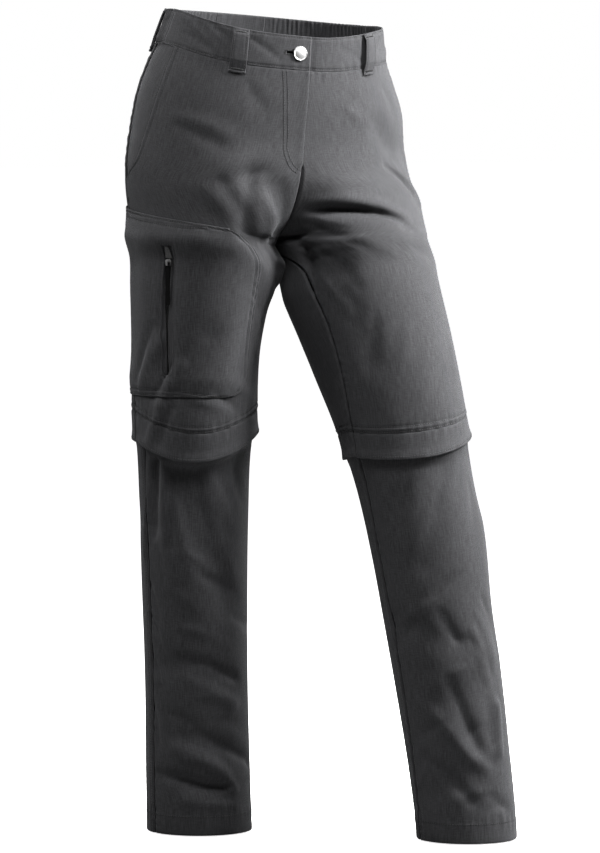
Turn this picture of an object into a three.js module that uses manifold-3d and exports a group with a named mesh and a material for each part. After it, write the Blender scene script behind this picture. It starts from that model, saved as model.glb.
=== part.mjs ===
// Zip-off hiking trousers in the form that they have when worn, in millimetres, +Z up.
// The front faces -Y and +X is the left leg. The origin is the middle of the waist opening.

import * as THREE from 'three';
import { mergeVertices } from 'three/addons/utils/BufferGeometryUtils.js';
import Module from 'manifold-3d';

const wasm = await Module();
wasm.setup();

// Driving sizes
const WALL = 2;
const GAP = 0.3;
const TOP = 8;
const BAND = 42;
const CROTCH = 281;
const HEM = 1011;
const HIP_TILT = 4.4;

// The zip-off seam dips at the front of each knee, and the cover flap below it differs in height
const ZIP_SEAM = {
  right: { down: 485, dip: 25.5, turn: 114, power: 2 },
  left: { down: 497, dip: 22, turn: 95, power: 1 },
};
const FLAP = {
  right: { inner: 28, front: 33, outer: 37, back: 30 },
  left: { inner: 31, front: 31, outer: 26, back: 30 },
};

// Columns of the wall grids
const FRONT_COLUMNS = 15;
const BACK_COLUMNS = 15;
const SHIN_COLUMNS = 12;

// Hip rings, a row for each drop below the waist. Each half has its own middle, a reach to its side,
// a shift back, and depths to the front and back. Dip, rise and sag lower or lift the ring at the centre
// front, at the centre back and between front and side. Both halves share the tilted hip line.
const HIP_RINGS = {
  right: [
    { down: 0, mid: 0, reach: 140, set: 0, front: 102, back: 104, dip: 24, rise: 4, sag: 3, roll: 4.4, pitch: 0 },
    { down: 42, mid: 0, reach: 152, set: 4, front: 107, back: 108, dip: 24, rise: 4, sag: 4, roll: 4.4, pitch: 0 },
    { down: 72, mid: 0, reach: 163, set: 6, front: 110, back: 111, dip: 19, rise: 3, sag: 3, roll: 4.4, pitch: 0 },
    { down: 105, mid: 3, reach: 171, set: 9, front: 113, back: 115, dip: 12, rise: 2, sag: 1.5, roll: 4.4, pitch: 0 },
    { down: 150, mid: 10, reach: 175.5, set: 11, front: 114, back: 119, dip: 5, rise: 0, sag: 0, roll: 4.4, pitch: 0 },
    { down: 190, mid: 27, reach: 177, set: 12, front: 114, back: 118, dip: 0, rise: 0, sag: 0, roll: 4, pitch: 0 },
    { down: 220, mid: 56, reach: 173, set: 12, front: 112, back: 114, dip: 0, rise: 0, sag: 0, roll: 3.4, pitch: 0 },
    { down: 250, mid: 72, reach: 166.5, set: 11, front: 108, back: 110, dip: 0, rise: 0, sag: 0, roll: 2.8, pitch: 0 },
    { down: 270, mid: 81, reach: 164.5, set: 10, front: 105, back: 106, dip: 0, rise: 0, sag: 0, roll: 2.4, pitch: 0 },
    { down: CROTCH, mid: 84, reach: 165, set: 10, front: 103, back: 104, dip: 0, rise: 0, sag: 0, roll: 2.2, pitch: 0 },
  ],
  left: [
    { down: 0, mid: 0, reach: 140, set: 0, front: 102, back: 104, dip: 24, rise: 4, sag: -4, roll: 4.4, pitch: 0 },
    { down: 42, mid: 0, reach: 150, set: 4, front: 107, back: 108, dip: 24, rise: 4, sag: -4, roll: 4.4, pitch: 0 },
    { down: 72, mid: 0, reach: 164, set: 6, front: 110, back: 111, dip: 19, rise: 3, sag: -3, roll: 4.4, pitch: 0 },
    { down: 105, mid: 3, reach: 179, set: 9, front: 113, back: 115, dip: 12, rise: 2, sag: -1, roll: 4.4, pitch: 0 },
    { down: 150, mid: 10, reach: 187, set: 10, front: 114, back: 119, dip: 5, rise: 0, sag: 0, roll: 4.2, pitch: 0 },
    { down: 190, mid: 27, reach: 196, set: 4, front: 114, back: 118, dip: 0, rise: 0, sag: 0, roll: 3, pitch: 0 },
    { down: 220, mid: 60, reach: 203, set: -7, front: 110, back: 115, dip: 0, rise: 0, sag: 0, roll: 1.5, pitch: -2 },
    { down: 250, mid: 86, reach: 202, set: -24, front: 106, back: 112, dip: 0, rise: 0, sag: 0, roll: 0, pitch: -5 },
    { down: 270, mid: 97, reach: 201, set: -36, front: 104, back: 109, dip: 0, rise: 0, sag: 0, roll: -1, pitch: -8 },
    { down: CROTCH, mid: 100, reach: 200, set: -42, front: 103, back: 107, dip: 0, rise: 0, sag: 0, roll: -1.5, pitch: -10 },
  ],
};

// Thigh rings below the crotch: the ring's middle, its radii and its two tilts in degrees.
const THIGH_RINGS = {
  right: [
    { down: 306, x: -96, y: 10, side: 84.5, front: 98, back: 99, roll: 2, pitch: 0 },
    { down: 337, x: -97, y: 9, side: 84, front: 93, back: 94, roll: 1, pitch: 0 },
    { down: 413, x: -105.5, y: 6, side: 76.5, front: 84, back: 85, roll: 0, pitch: 0 },
    { down: 477, x: -110, y: 5, side: 77.5, front: 82, back: 81, roll: 0, pitch: 0 },
    { down: 560, x: -107, y: 5, side: 75, front: 80, back: 79, roll: 0, pitch: 0 },
  ],
  left: [
    { down: 306, x: 87, y: -56, side: 94, front: 99, back: 100, roll: -2, pitch: -11 },
    { down: 337, x: 86, y: -70, side: 94, front: 97, back: 96, roll: -5, pitch: -14 },
    { down: 414, x: 96, y: -103, side: 88, front: 88, back: 88, roll: -7, pitch: -16 },
    { down: 498, x: 108.5, y: -132, side: 79.5, front: 82, back: 80, roll: -9, pitch: -12 },
    { down: 570, x: 115, y: -152, side: 75, front: 77, back: 76, roll: -9, pitch: -11 },
  ],
};

// Lower leg rings, from under the cover flap to the hem.
const SHIN_RINGS = {
  right: [
    { down: 500, x: -110, y: 5, side: 74, front: 77, back: 76, roll: 0, pitch: 0 },
    { down: 545, x: -110, y: 7, side: 70, front: 70, back: 70, roll: 0, pitch: 0 },
    { down: 600, x: -109.5, y: 8, side: 68, front: 68, back: 68, roll: 0, pitch: 0 },
    { down: 684, x: -108.5, y: 9, side: 66, front: 66, back: 67, roll: 0, pitch: 0 },
    { down: 823, x: -106, y: 9, side: 64, front: 64, back: 65, roll: 0, pitch: 0 },
    { down: 938, x: -104, y: 9, side: 65, front: 65, back: 65, roll: 0, pitch: 0 },
    { down: HEM, x: -102, y: 9, side: 65.5, front: 65.5, back: 65.5, roll: 0, pitch: 0 },
  ],
  left: [
    { down: 515, x: 110, y: -137, side: 75, front: 76, back: 75, roll: -9, pitch: -12 },
    { down: 573, x: 117, y: -152, side: 71, front: 71, back: 70, roll: -9, pitch: -11 },
    { down: 652, x: 127, y: -168, side: 69.5, front: 69, back: 69, roll: -8, pitch: -10 },
    { down: 738, x: 134.5, y: -180, side: 66, front: 66, back: 66, roll: -7, pitch: -7 },
    { down: 823, x: 146, y: -189, side: 65.5, front: 65, back: 65, roll: -7, pitch: -6 },
    { down: 905, x: 155, y: -196, side: 63.2, front: 64, back: 64, roll: -5, pitch: -4 },
    { down: 972, x: 161.5, y: -201, side: 62.5, front: 63, back: 63, roll: -2, pitch: -1 },
    { down: HEM, x: 164, y: -203, side: 62, front: 62, back: 62, roll: 0, pitch: 0 },
  ],
};

// Where the seams run round the ring, in degrees from the inside of the leg by way of the front.
const SIDE_SEAM = [
  { down: 0, turn: 189 },
  { down: 150, turn: 195 },
  { down: 260, turn: 194 },
  { down: 500, turn: 187 },
  { down: HEM, turn: 184 },
];
const INSEAM = {
  right: [{ down: CROTCH, turn: 0 }, { down: HEM, turn: 0 }],
  left: [
    { down: CROTCH, turn: 0 },
    { down: 310, turn: 20 },
    { down: 360, turn: 26 },
    { down: 430, turn: 23 },
    { down: 500, turn: 12 },
    { down: 560, turn: 7.5 },
    { down: 650, turn: 3.5 },
    { down: 800, turn: 5 },
    { down: 900, turn: 1 },
    { down: HEM, turn: -5 },
  ],
};

// The largest folds: a soft ridge or trough from one place to another, its half width and its height.
const THIGH_FOLDS = {
  right: [
    { turn: 113, down: 192, toTurn: 53, toDown: 335, wide: 24, high: 5 },
    { turn: 27, down: 292, toTurn: 24, toDown: 326, wide: 20, high: 6.5 },
    { turn: 104, down: 198, toTurn: 38, toDown: 262, wide: 16, high: -7 },
    { turn: 151, down: 300, toTurn: 147, toDown: 440, wide: 17, high: -3 },
    { turn: 167, down: 290, toTurn: 166, toDown: 410, wide: 18, high: 2.5 },
    { turn: 132, down: 455, toTurn: 108, toDown: 395, wide: 18, high: -3 },
    { turn: 232, down: 262, toTurn: 292, toDown: 290, wide: 18, high: -5 },
    { turn: 226, down: 330, toTurn: 300, toDown: 322, wide: 18, high: -3.5 },
    { turn: 300, down: 440, toTurn: 236, toDown: 462, wide: 18, high: -3 },
  ],
  left: [
    { turn: 60, down: 227, toTurn: 103, toDown: 236, wide: 16, high: -9 },
    { turn: 103, down: 236, toTurn: 138, toDown: 247, wide: 16, high: -6 },
    { turn: 84, down: 204, toTurn: 128, toDown: 214, wide: 20, high: 4 },
    { turn: 74, down: 264, toTurn: 128, toDown: 278, wide: 26, high: 4 },
    { turn: 127, down: 122, toTurn: 136, toDown: 154, wide: 18, high: -3 },
    { turn: 150, down: 160, toTurn: 158, toDown: 190, wide: 18, high: -3 },
    { turn: 46, down: 320, toTurn: 52, toDown: 430, wide: 20, high: -3 },
    { turn: 122, down: 330, toTurn: 96, toDown: 470, wide: 30, high: 2.5 },
    { turn: 228, down: 268, toTurn: 286, toDown: 276, wide: 18, high: -5 },
    { turn: 236, down: 350, toTurn: 300, toDown: 330, wide: 20, high: -3.5 },
    { turn: 230, down: 470, toTurn: 300, toDown: 455, wide: 18, high: -3 },
  ],
};
const SHIN_FOLDS = {
  right: [
    { turn: 160, down: 530, toTurn: 157, toDown: 625, wide: 15, high: -3.5 },
    { turn: 126, down: 560, toTurn: 75, toDown: 722, wide: 20, high: -4.5 },
    { turn: 142, down: 600, toTurn: 100, toDown: 745, wide: 20, high: 2.5 },
    { turn: 148, down: 800, toTurn: 75, toDown: 816, wide: 17, high: -3.5 },
    { turn: 118, down: 890, toTurn: 61, toDown: 912, wide: 16, high: -3 },
    { turn: 130, down: 943, toTurn: 79, toDown: 957, wide: 14, high: -3.5 },
    { turn: 225, down: 620, toTurn: 300, toDown: 672, wide: 20, high: -4 },
    { turn: 232, down: 772, toTurn: 305, toDown: 800, wide: 18, high: -3 },
    { turn: 240, down: 900, toTurn: 296, toDown: 922, wide: 16, high: -3 },
  ],
  left: [
    { turn: 96, down: 575, toTurn: 55, toDown: 668, wide: 20, high: -3 },
    { turn: 10, down: 735, toTurn: 80, toDown: 770, wide: 18, high: -3 },
    { turn: 60, down: 838, toTurn: 122, toDown: 812, wide: 18, high: -2.5 },
    { turn: 142, down: 640, toTurn: 134, toDown: 790, wide: 24, high: 2.5 },
    { turn: 70, down: 925, toTurn: 20, toDown: 950, wide: 16, high: -2.5 },
    { turn: 222, down: 640, toTurn: 300, toDown: 610, wide: 20, high: -4 },
    { turn: 232, down: 800, toTurn: 302, toDown: 782, wide: 18, high: -3 },
    { turn: 238, down: 930, toTurn: 290, toDown: 915, wide: 16, high: -3 },
  ],
};

const SIGN = { right: -1, left: 1 };
const rad = (degrees) => (degrees * Math.PI) / 180;
const clamp = (value, low, high) => Math.min(high, Math.max(low, value));
const mix = (from, to, share) => from + (to - from) * share;
const smooth = (share) => {
  const s = clamp(share, 0, 1);
  return s * s * (3 - 2 * s);
};

// A smooth curve through one column of a table, straight on past its ends.
function along(rows, column, down) {
  const slope = (i) => {
    const a = rows[Math.max(0, i - 1)];
    const b = rows[Math.min(rows.length - 1, i + 1)];
    return (b[column] - a[column]) / (b.down - a.down);
  };
  const last = rows.length - 1;
  if (down <= rows[0].down) {
    return rows[0][column] + slope(0) * (down - rows[0].down);
  }
  if (down >= rows[last].down) {
    return rows[last][column] + slope(last) * (down - rows[last].down);
  }
  const i = rows.findIndex((row, n) => n < last && down < rows[n + 1].down);
  const span = rows[i + 1].down - rows[i].down;
  const t = (down - rows[i].down) / span;
  const t2 = t * t;
  const t3 = t2 * t;
  return (2 * t3 - 3 * t2 + 1) * rows[i][column]
    + (t3 - 2 * t2 + t) * span * slope(i)
    + (3 * t2 - 2 * t3) * rows[i + 1][column]
    + (t3 - t2) * span * slope(i + 1);
}

// Hip rows are measured from the tilted centre line, and leg rows from the origin.
function hipRow(side, row) {
  const tilt = rad(HIP_TILT);
  const out = SIGN[side] * row.mid;
  return {
    down: row.down,
    x: out * Math.cos(tilt) - row.down * Math.sin(tilt),
    y: row.set,
    z: TOP - out * Math.sin(tilt) - row.down * Math.cos(tilt),
    side: row.reach - row.mid,
    front: row.front,
    back: row.back,
    lap: row.reach - 2 * row.mid,
    roll: row.roll,
    pitch: row.pitch,
    dip: row.dip,
    rise: row.rise,
    sag: row.sag,
  };
}

// A leg row keeps what is left of the hip tilt's rise or drop, which fades out down the thigh.
const TILT_SHIFT = 7;
const TILT_FADE = 200;
function legRow(side, row) {
  const kept = 1 - smooth((row.down - CROTCH) / TILT_FADE);
  return { ...row, z: TOP - row.down - SIGN[side] * TILT_SHIFT * kept, lap: 0, dip: 0, rise: 0, sag: 0 };
}

function makeTube(side, rings, folds, hipped) {
  return { side, sign: SIGN[side], rings, folds, hipped };
}

const THIGH = {};
const SHIN = {};
for (const side of ['right', 'left']) {
  const hips = HIP_RINGS[side].map((row) => hipRow(side, row));
  const thighs = THIGH_RINGS[side].map((row) => legRow(side, row));
  const shins = SHIN_RINGS[side].map((row) => legRow(side, row));
  THIGH[side] = makeTube(side, [...hips, ...thighs], THIGH_FOLDS[side], true);
  SHIN[side] = makeTube(side, shins, SHIN_FOLDS[side], false);
}

const RING_COLUMNS = [
  'x', 'y', 'z', 'side', 'front', 'back', 'lap', 'roll', 'pitch', 'dip', 'rise', 'sag',
];
function ringAt(tube, down) {
  const ring = {};
  for (const column of RING_COLUMNS) {
    ring[column] = along(tube.rings, column, down);
  }
  return ring;
}

// The turn at which a ring starts: on the centre seam above the crotch, on the inseam below it.
function startTurn(tube, down) {
  if (!tube.hipped || down >= CROTCH) {
    return along(INSEAM[tube.side], 'turn', down);
  }
  const ring = ringAt(tube, down);
  return (Math.acos(clamp(1 - ring.lap / ring.side, 0, 1)) * 180) / Math.PI;
}

function endTurn(tube, down) {
  const below = !tube.hipped || down >= CROTCH;
  return below ? 360 + startTurn(tube, down) : 360 - startTurn(tube, down);
}

function sideTurn(down) {
  return along(SIDE_SEAM, 'turn', down);
}

// A ring's own point, without folds, and the direction that points away from its middle there.
function ringPoint(tube, turn, down) {
  const ring = ringAt(tube, down);
  const c = Math.cos(rad(turn));
  const s = Math.sin(rad(turn));
  const depth = s >= 0 ? ring.front : ring.back;
  const out = -ring.side * c * tube.sign;
  const back = -depth * s;
  const roll = rad(ring.roll);
  const pitch = rad(ring.pitch);
  const between = Math.sin(rad(2 * turn)) ** 2;
  const lift = s >= 0 ? -ring.dip * s ** 1.5 - ring.sag * between : ring.rise * s * s;
  const point = new THREE.Vector3(
    ring.x + out * Math.cos(roll),
    ring.y + back * Math.cos(pitch),
    ring.z - out * Math.sin(roll) + back * Math.sin(pitch) + lift,
  );
  const away = new THREE.Vector3(-c * tube.sign * depth, -s * ring.side, 0).normalize();
  return { point, away, girth: (ring.side + depth) / 2 };
}

function foldHeight(tube, turn, down, girth) {
  let height = 0;
  for (const fold of tube.folds) {
    const scale = rad(girth);
    const runAcross = (fold.toTurn - fold.turn) * scale;
    const runDown = fold.toDown - fold.down;
    const across = (turn - fold.turn) * scale;
    const below = down - fold.down;
    const length2 = runAcross ** 2 + runDown ** 2;
    const share = clamp((across * runAcross + below * runDown) / length2, 0, 1);
    const off2 = (across - share * runAcross) ** 2 + (below - share * runDown) ** 2;
    height += fold.high * Math.exp(-off2 / fold.wide ** 2);
  }
  return height;
}

// Both halves meet on the mean of their own centre edges.
const CENTRE_REACH = 70;
const CENTRE_CALM = 24;
const CROTCH_FADE = 95;

// How near a place is to the centre seam or the crotch, from 0 beyond the reach to 1 on the seam.
function centreShare(tube, turn, down, reach) {
  if (!tube.hipped) {
    return { share: 0 };
  }
  const at = Math.min(down, CROTCH);
  const fromFront = turn - startTurn(tube, at);
  const fromBack = endTurn(tube, at) - turn;
  const near = smooth(1 - Math.min(fromFront, fromBack) / reach);
  const fade = smooth(1 - (down - at) / CROTCH_FADE);
  return { share: near * fade, at, nearFront: fromFront <= fromBack };
}

function centrePull(tube, turn, down) {
  const pull = new THREE.Vector3();
  const { share, at, nearFront } = centreShare(tube, turn, down, CENTRE_REACH);
  if (share === 0) {
    return pull;
  }
  const edge = (side) => {
    const own = THIGH[side];
    const edgeTurn = nearFront ? startTurn(own, at) : endTurn(own, at);
    return ringPoint(own, edgeTurn, at).point;
  };
  const own = edge(tube.side);
  const other = edge(tube.side === 'right' ? 'left' : 'right');
  return pull.subVectors(other, own).multiplyScalar(0.5 * share);
}

function skinPoint(tube, turn, down) {
  const bare = ringPoint(tube, turn, down);
  const calm = 1 - centreShare(tube, turn, down, CENTRE_CALM).share;
  const height = foldHeight(tube, turn, down, bare.girth) * calm;
  return bare.point.add(centrePull(tube, turn, down)).addScaledVector(bare.away, height);
}

// A station on the cloth: the point and the outward direction, square to the cloth.
function station(tube, turn, down) {
  const step = 1.5;
  const across = skinPoint(tube, turn + step, down).sub(skinPoint(tube, turn - step, down));
  const below = skinPoint(tube, turn, down + step).sub(skinPoint(tube, turn, down - step));
  const normal = across.cross(below).multiplyScalar(-tube.sign).normalize();
  return { point: skinPoint(tube, turn, down), normal, turn, down };
}

// On the centre seam the wall stands square to the middle plane, so that the halves meet face to face.
function centreStation(tube, turn, down) {
  const at = station(tube, turn, down);
  const outward = at.normal.x * tube.sign;
  if (outward > 0 || down < CROTCH * 0.6) {
    at.normal.x = 0;
    at.normal.normalize();
  }
  return at;
}

// Rows of stations on a tube. Above the crotch rows are level, and below it they lean to the lower edge.
const HIP_ROWS = [42, 62, 84, 106, 128, 152, 176, 196, 214, 230, 244, 256, 267, 276, CROTCH];
const THIGH_SHARES = [0.08, 0.18, 0.29, 0.41, 0.53, 0.65, 0.77, 0.89, 1];
const SHIN_ROWS = 17;

function seamDown(side, turn) {
  const seam = ZIP_SEAM[side];
  const off = Math.min(Math.abs(turn - seam.turn), Math.abs(turn - 360 - seam.turn));
  const lean = off < 90 ? Math.cos(rad(off)) ** seam.power : 0;
  return seam.down + seam.dip * lean;
}

function thighGrid(side, half) {
  const tube = THIGH[side];
  const columns = half === 'front' ? FRONT_COLUMNS : BACK_COLUMNS;
  const turnAt = (share, down) => {
    const from = half === 'front' ? startTurn(tube, down) : sideTurn(down);
    const to = half === 'front' ? sideTurn(down) : endTurn(tube, down);
    return mix(from, to, share);
  };
  const place = (share, down, lean) => {
    const turn = turnAt(share, down);
    const own = lean === 0 ? down : mix(CROTCH, seamDown(side, turn), lean);
    const leanTurn = lean === 0 ? turn : turnAt(share, own);
    const centre = lean === 0 && (half === 'front' ? share === 0 : share === 1);
    return centre ? centreStation(tube, leanTurn, own) : station(tube, leanTurn, own);
  };
  const rows = [
    ...HIP_ROWS.map((down) => ({ down, lean: 0 })),
    ...THIGH_SHARES.map((lean) => ({ down: mix(CROTCH, ZIP_SEAM[side].down, lean), lean })),
  ];
  return rows.map(({ down, lean }) => {
    const row = [];
    for (let i = 0; i <= columns; i += 1) {
      row.push(place(i / columns, down, lean));
    }
    return row;
  });
}

function legGrid(tube, half, columns, shares, downAt, stationAt = station) {
  return shares.map((share) => {
    const level = downAt(ZIP_SEAM[tube.side].turn + 180, share);
    const row = [];
    for (let i = 0; i <= columns; i += 1) {
      const turnAt = (down) => {
        const from = half === 'front' ? startTurn(tube, down) : sideTurn(down);
        const to = half === 'front' ? sideTurn(down) : endTurn(tube, down);
        return mix(from, to, i / columns);
      };
      const down = downAt(turnAt(level), share);
      row.push(stationAt(tube, turnAt(down), down));
    }
    return row;
  });
}

// Edges are drawn back along the cloth by half a gap wherever another piece is sewn on.
function drawnBack(rows, edges) {
  const copy = rows.map((row) => row.map((at) => ({ ...at, point: at.point.clone(), normal: at.normal.clone() })));
  const last = rows.length - 1;
  const end = rows[0].length - 1;
  const pullTo = (at, next, by) => {
    const step = next.point.clone().sub(at.point);
    return at.point.clone().addScaledVector(step.normalize(), by);
  };
  for (let j = 0; j <= last; j += 1) {
    if (edges.start) {
      copy[j][0].point.copy(pullTo(rows[j][0], rows[j][1], edges.start));
    }
    if (edges.end) {
      copy[j][end].point.copy(pullTo(rows[j][end], rows[j][end - 1], edges.end));
    }
  }
  for (let i = 0; i <= end; i += 1) {
    if (edges.top) {
      const shift = pullTo(rows[0][i], rows[1][i], edges.top).sub(rows[0][i].point);
      copy[0][i].point.add(shift);
    }
    if (edges.foot) {
      const shift = pullTo(rows[last][i], rows[last - 1][i], edges.foot).sub(rows[last][i].point);
      copy[last][i].point.add(shift);
    }
  }
  return copy;
}

// A closed wall over rows of stations, from one height above the cloth to another.
function wallGeometry(rows, outerHeight, innerHeight, flipped) {
  const count = rows.length;
  const wide = rows[0].length;
  const positions = [];
  const put = (at, height) => {
    const p = at.point.clone().addScaledVector(at.normal, height);
    positions.push(p.x, p.y, p.z);
  };
  for (const heightOf of [outerHeight, innerHeight]) {
    rows.forEach((row, j) => row.forEach((at, i) => put(at, heightOf(i, j))));
  }
  const outer = (i, j) => j * wide + i;
  const inner = (i, j) => count * wide + j * wide + i;
  const index = [];
  const quad = (a, b, c, d) => {
    const corners = flipped ? [a, c, b, a, d, c] : [a, b, c, a, c, d];
    index.push(...corners);
  };
  for (let j = 0; j < count - 1; j += 1) {
    for (let i = 0; i < wide - 1; i += 1) {
      quad(outer(i, j), outer(i, j + 1), outer(i + 1, j + 1), outer(i + 1, j));
      quad(inner(i, j), inner(i + 1, j), inner(i + 1, j + 1), inner(i, j + 1));
    }
  }
  for (let i = 0; i < wide - 1; i += 1) {
    quad(outer(i, 0), outer(i + 1, 0), inner(i + 1, 0), inner(i, 0));
    quad(outer(i, count - 1), inner(i, count - 1), inner(i + 1, count - 1), outer(i + 1, count - 1));
  }
  for (let j = 0; j < count - 1; j += 1) {
    quad(outer(0, j), inner(0, j), inner(0, j + 1), outer(0, j + 1));
    quad(outer(wide - 1, j), outer(wide - 1, j + 1), inner(wide - 1, j + 1), inner(wide - 1, j));
  }
  const geometry = new THREE.BufferGeometry();
  geometry.setAttribute('position', new THREE.Float32BufferAttribute(positions, 3));
  geometry.setIndex(index);
  return geometry;
}

const even = (height) => () => height;

function panelWall(tube, rows, outerHeight = even(0), innerHeight = even(-WALL)) {
  return wallGeometry(rows, outerHeight, innerHeight, tube.sign < 0);
}

// Solids for cutting and joining.
function toSolid(geometry) {
  const bare = geometry.clone();
  bare.deleteAttribute('normal');
  bare.deleteAttribute('uv');
  const merged = mergeVertices(bare, 1e-4);
  return new wasm.Manifold(new wasm.Mesh({
    numProp: 3,
    vertProperties: new Float32Array(merged.attributes.position.array),
    triVerts: new Uint32Array(merged.index.array),
  }));
}

function toGeometry(solid) {
  const mesh = solid.getMesh();
  const geometry = new THREE.BufferGeometry();
  geometry.setAttribute('position', new THREE.BufferAttribute(new Float32Array(mesh.vertProperties), 3));
  geometry.setIndex(new THREE.BufferAttribute(new Uint32Array(mesh.triVerts), 1));
  return geometry;
}

// Materials
const material = (name, color, roughness, metalness) => {
  return new THREE.MeshStandardMaterial({ name, color, roughness, metalness });
};
const MATERIALS = {
  cloth: material('charcoal_cloth', 0x4a4a4d, 0.9, 0),
  tape: material('black_tape', 0x0c0c0d, 0.8, 0),
  pull: material('black_pull', 0x101012, 0.55, 0),
  steel: material('silver_metal', 0xc9cacb, 0.28, 1),
};

const trousers = new THREE.Group();
trousers.name = 'hiking_trousers';

function addPiece(name, geometry, finish, parent = trousers) {
  const mesh = new THREE.Mesh(geometry, MATERIALS[finish]);
  mesh.name = name;
  geometry.computeVertexNormals();
  parent.add(mesh);
  return mesh;
}

// Grids of the whole leg side by side, so that what lies on two panels keeps to the points of both
const PANELS = {};
for (const side of ['right', 'left']) {
  PANELS[side] = { front: thighGrid(side, 'front'), back: thighGrid(side, 'back') };
}

function joined(first, second) {
  return first.map((row, j) => [...row, ...second[j].slice(1)]);
}

function part(rows, fromRow, toRow, fromColumn, toColumn) {
  return rows.slice(fromRow, toRow + 1).map((row) => row.slice(fromColumn, toColumn + 1));
}

const spread = (from, to, count) => Array.from({ length: count + 1 }, (_, i) => mix(from, to, i / count));
const mirrored = (rows) => rows.map((row) => [...row].reverse());
const rowAt = (down) => HIP_ROWS.findIndex((own) => own >= down);

// A patch with its own grid: both turn and drop are given for each place on it.
function patchGrid(tube, columns, rowCount, placeAt) {
  const rows = [];
  for (let j = 0; j <= rowCount; j += 1) {
    const row = [];
    for (let i = 0; i <= columns; i += 1) {
      const { turn, down } = placeAt(i / columns, j / rowCount);
      row.push(station(tube, turn, down));
    }
    rows.push(row);
  }
  return rows;
}

function cutter(tube, columns, rowCount, placeAt, depth = 10) {
  return toSolid(panelWall(tube, patchGrid(tube, columns, rowCount, placeAt), even(depth), even(-depth)));
}

// Millimetres along the ring as degrees of turn.
function turnsFor(tube, turn, down, length) {
  const step = 2;
  const run = skinPoint(tube, turn + step, down).distanceTo(skinPoint(tube, turn - step, down));
  return (length * 2 * step) / run;
}

// A shape drawn flat and thickened, set on the cloth: its Y runs up the leg and its Z away from the cloth.
function setOn(geometry, at) {
  const out = at.normal.clone();
  const up = new THREE.Vector3(0, 0, 1);
  up.addScaledVector(out, -up.dot(out)).normalize();
  const level = new THREE.Vector3().crossVectors(up, out).normalize();
  const basis = new THREE.Matrix4().makeBasis(level, up, out);
  basis.setPosition(at.point);
  return geometry.clone().applyMatrix4(basis);
}

// The place on a panel's own facets, between its four nearest stations.
function onFacets(rows, turn, down) {
  const blend = (a, b, share) => ({
    down: mix(a.down, b.down, share),
    point: a.point.clone().lerp(b.point, share),
    normal: a.normal.clone().lerp(b.normal, share).normalize(),
  });
  const places = rows.map((row) => {
    const i = clamp(row.findIndex((at) => at.turn > turn) - 1, 0, row.length - 2);
    return blend(row[i], row[i + 1], (turn - row[i].turn) / (row[i + 1].turn - row[i].turn));
  });
  const j = clamp(places.findIndex((at) => at.down > down) - 1, 0, rows.length - 2);
  return blend(places[j], places[j + 1], (down - places[j].down) / (places[j + 1].down - places[j].down));
}

// Slant hand pockets: the mouth runs from the waist seam to the side seam
const MOUTH = [
  { down: BAND, turn: 166 },
  { down: 100, turn: 165.5 },
  { down: 152, turn: 170 },
  { down: 188, turn: 177 },
  { down: 206, turn: 190 },
];
const MOUTH_FOOT = 206;
const MOUTH_OVERRUN = 9;

function mouthCutter(side) {
  const place = (across, below) => {
    const down = mix(BAND - 12, MOUTH_FOOT, below);
    return { turn: mix(along(MOUTH, 'turn', down), sideTurn(down) + MOUTH_OVERRUN, across), down };
  };
  return cutter(THIGH[side], 4, 12, place);
}

// Shorts panels
const HALF = GAP / 2;
const FLY_STEP = 0.9;
const FLY_FOOT = 182;
for (const side of ['right', 'left']) {
  const tube = THIGH[side];
  const edges = { start: HALF, end: HALF, top: HALF, foot: HALF };
  const front = drawnBack(PANELS[side].front, edges);
  const raised = (i, j) => (side === 'right' && i === 0 && front[j][0].down < FLY_FOOT ? FLY_STEP : 0);
  const frontWall = panelWall(tube, front, raised, (i, j) => raised(i, j) - WALL);
  addPiece(`shorts_front_${side}`, toGeometry(toSolid(frontWall).subtract(mouthCutter(side))), 'cloth');
  addPiece(`shorts_back_${side}`, panelWall(tube, drawnBack(PANELS[side].back, edges)), 'cloth');
}

// Hip facings, one layer in, which show in the pocket mouths
const UNDER = -WALL - GAP;
const FACING_COLUMNS = { before: 4, after: 1 };
for (const side of ['right', 'left']) {
  const whole = joined(PANELS[side].front, PANELS[side].back);
  const from = FRONT_COLUMNS - FACING_COLUMNS.before;
  const to = FRONT_COLUMNS + FACING_COLUMNS.after;
  const rows = drawnBack(part(whole, 0, rowAt(214), from, to), { top: HALF });
  addPiece(`pocket_facing_${side}`, panelWall(THIGH[side], rows, even(UNDER), even(UNDER - WALL)), 'cloth');
}

// Fly shield, one layer in behind the closing edge
const SHIELD = { width: 40, foot: 178, columns: 4 };
{
  const left = mirrored(part(PANELS.left.front, 0, rowAt(196), 0, 1));
  const right = part(PANELS.right.front, 0, rowAt(196), 0, SHIELD.columns);
  const rows = drawnBack(joined(left, right), { top: HALF });
  const wall = toSolid(panelWall(THIGH.right, rows, even(UNDER), even(UNDER - WALL)));
  const place = (across, below) => {
    const bend = Math.sqrt(1 - (1 - across) ** 2);
    const down = mix(BAND - 12, mix(SHIELD.foot, SHIELD.foot - 34, 1 - bend), below);
    const start = startTurn(THIGH.right, down) - 8;
    const width = turnsFor(THIGH.right, 95, Math.min(down, 150), SHIELD.width);
    return { turn: mix(start + 8 + width, start, across), down };
  };
  const outline = toSolid(wallGeometry(patchGrid(THIGH.right, 8, 8, place), even(10), even(-14), false));
  addPiece('fly_shield', toGeometry(wall.intersect(outline)), 'cloth');
}

// Waistband
const BAND_OUT = 0.6;
const BAND_IN = BAND_OUT - 2.4;
const ELASTIC = { from: 176, to: 256, waves: 31, high: 1.1 };
const bandRow = (side, turns) => [0, BAND].map((down) => turns.map((turn) => {
  const tube = THIGH[side];
  return turn === 90 || turn === 270 ? centreStation(tube, turn, down) : station(tube, turn, down);
}));

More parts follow.
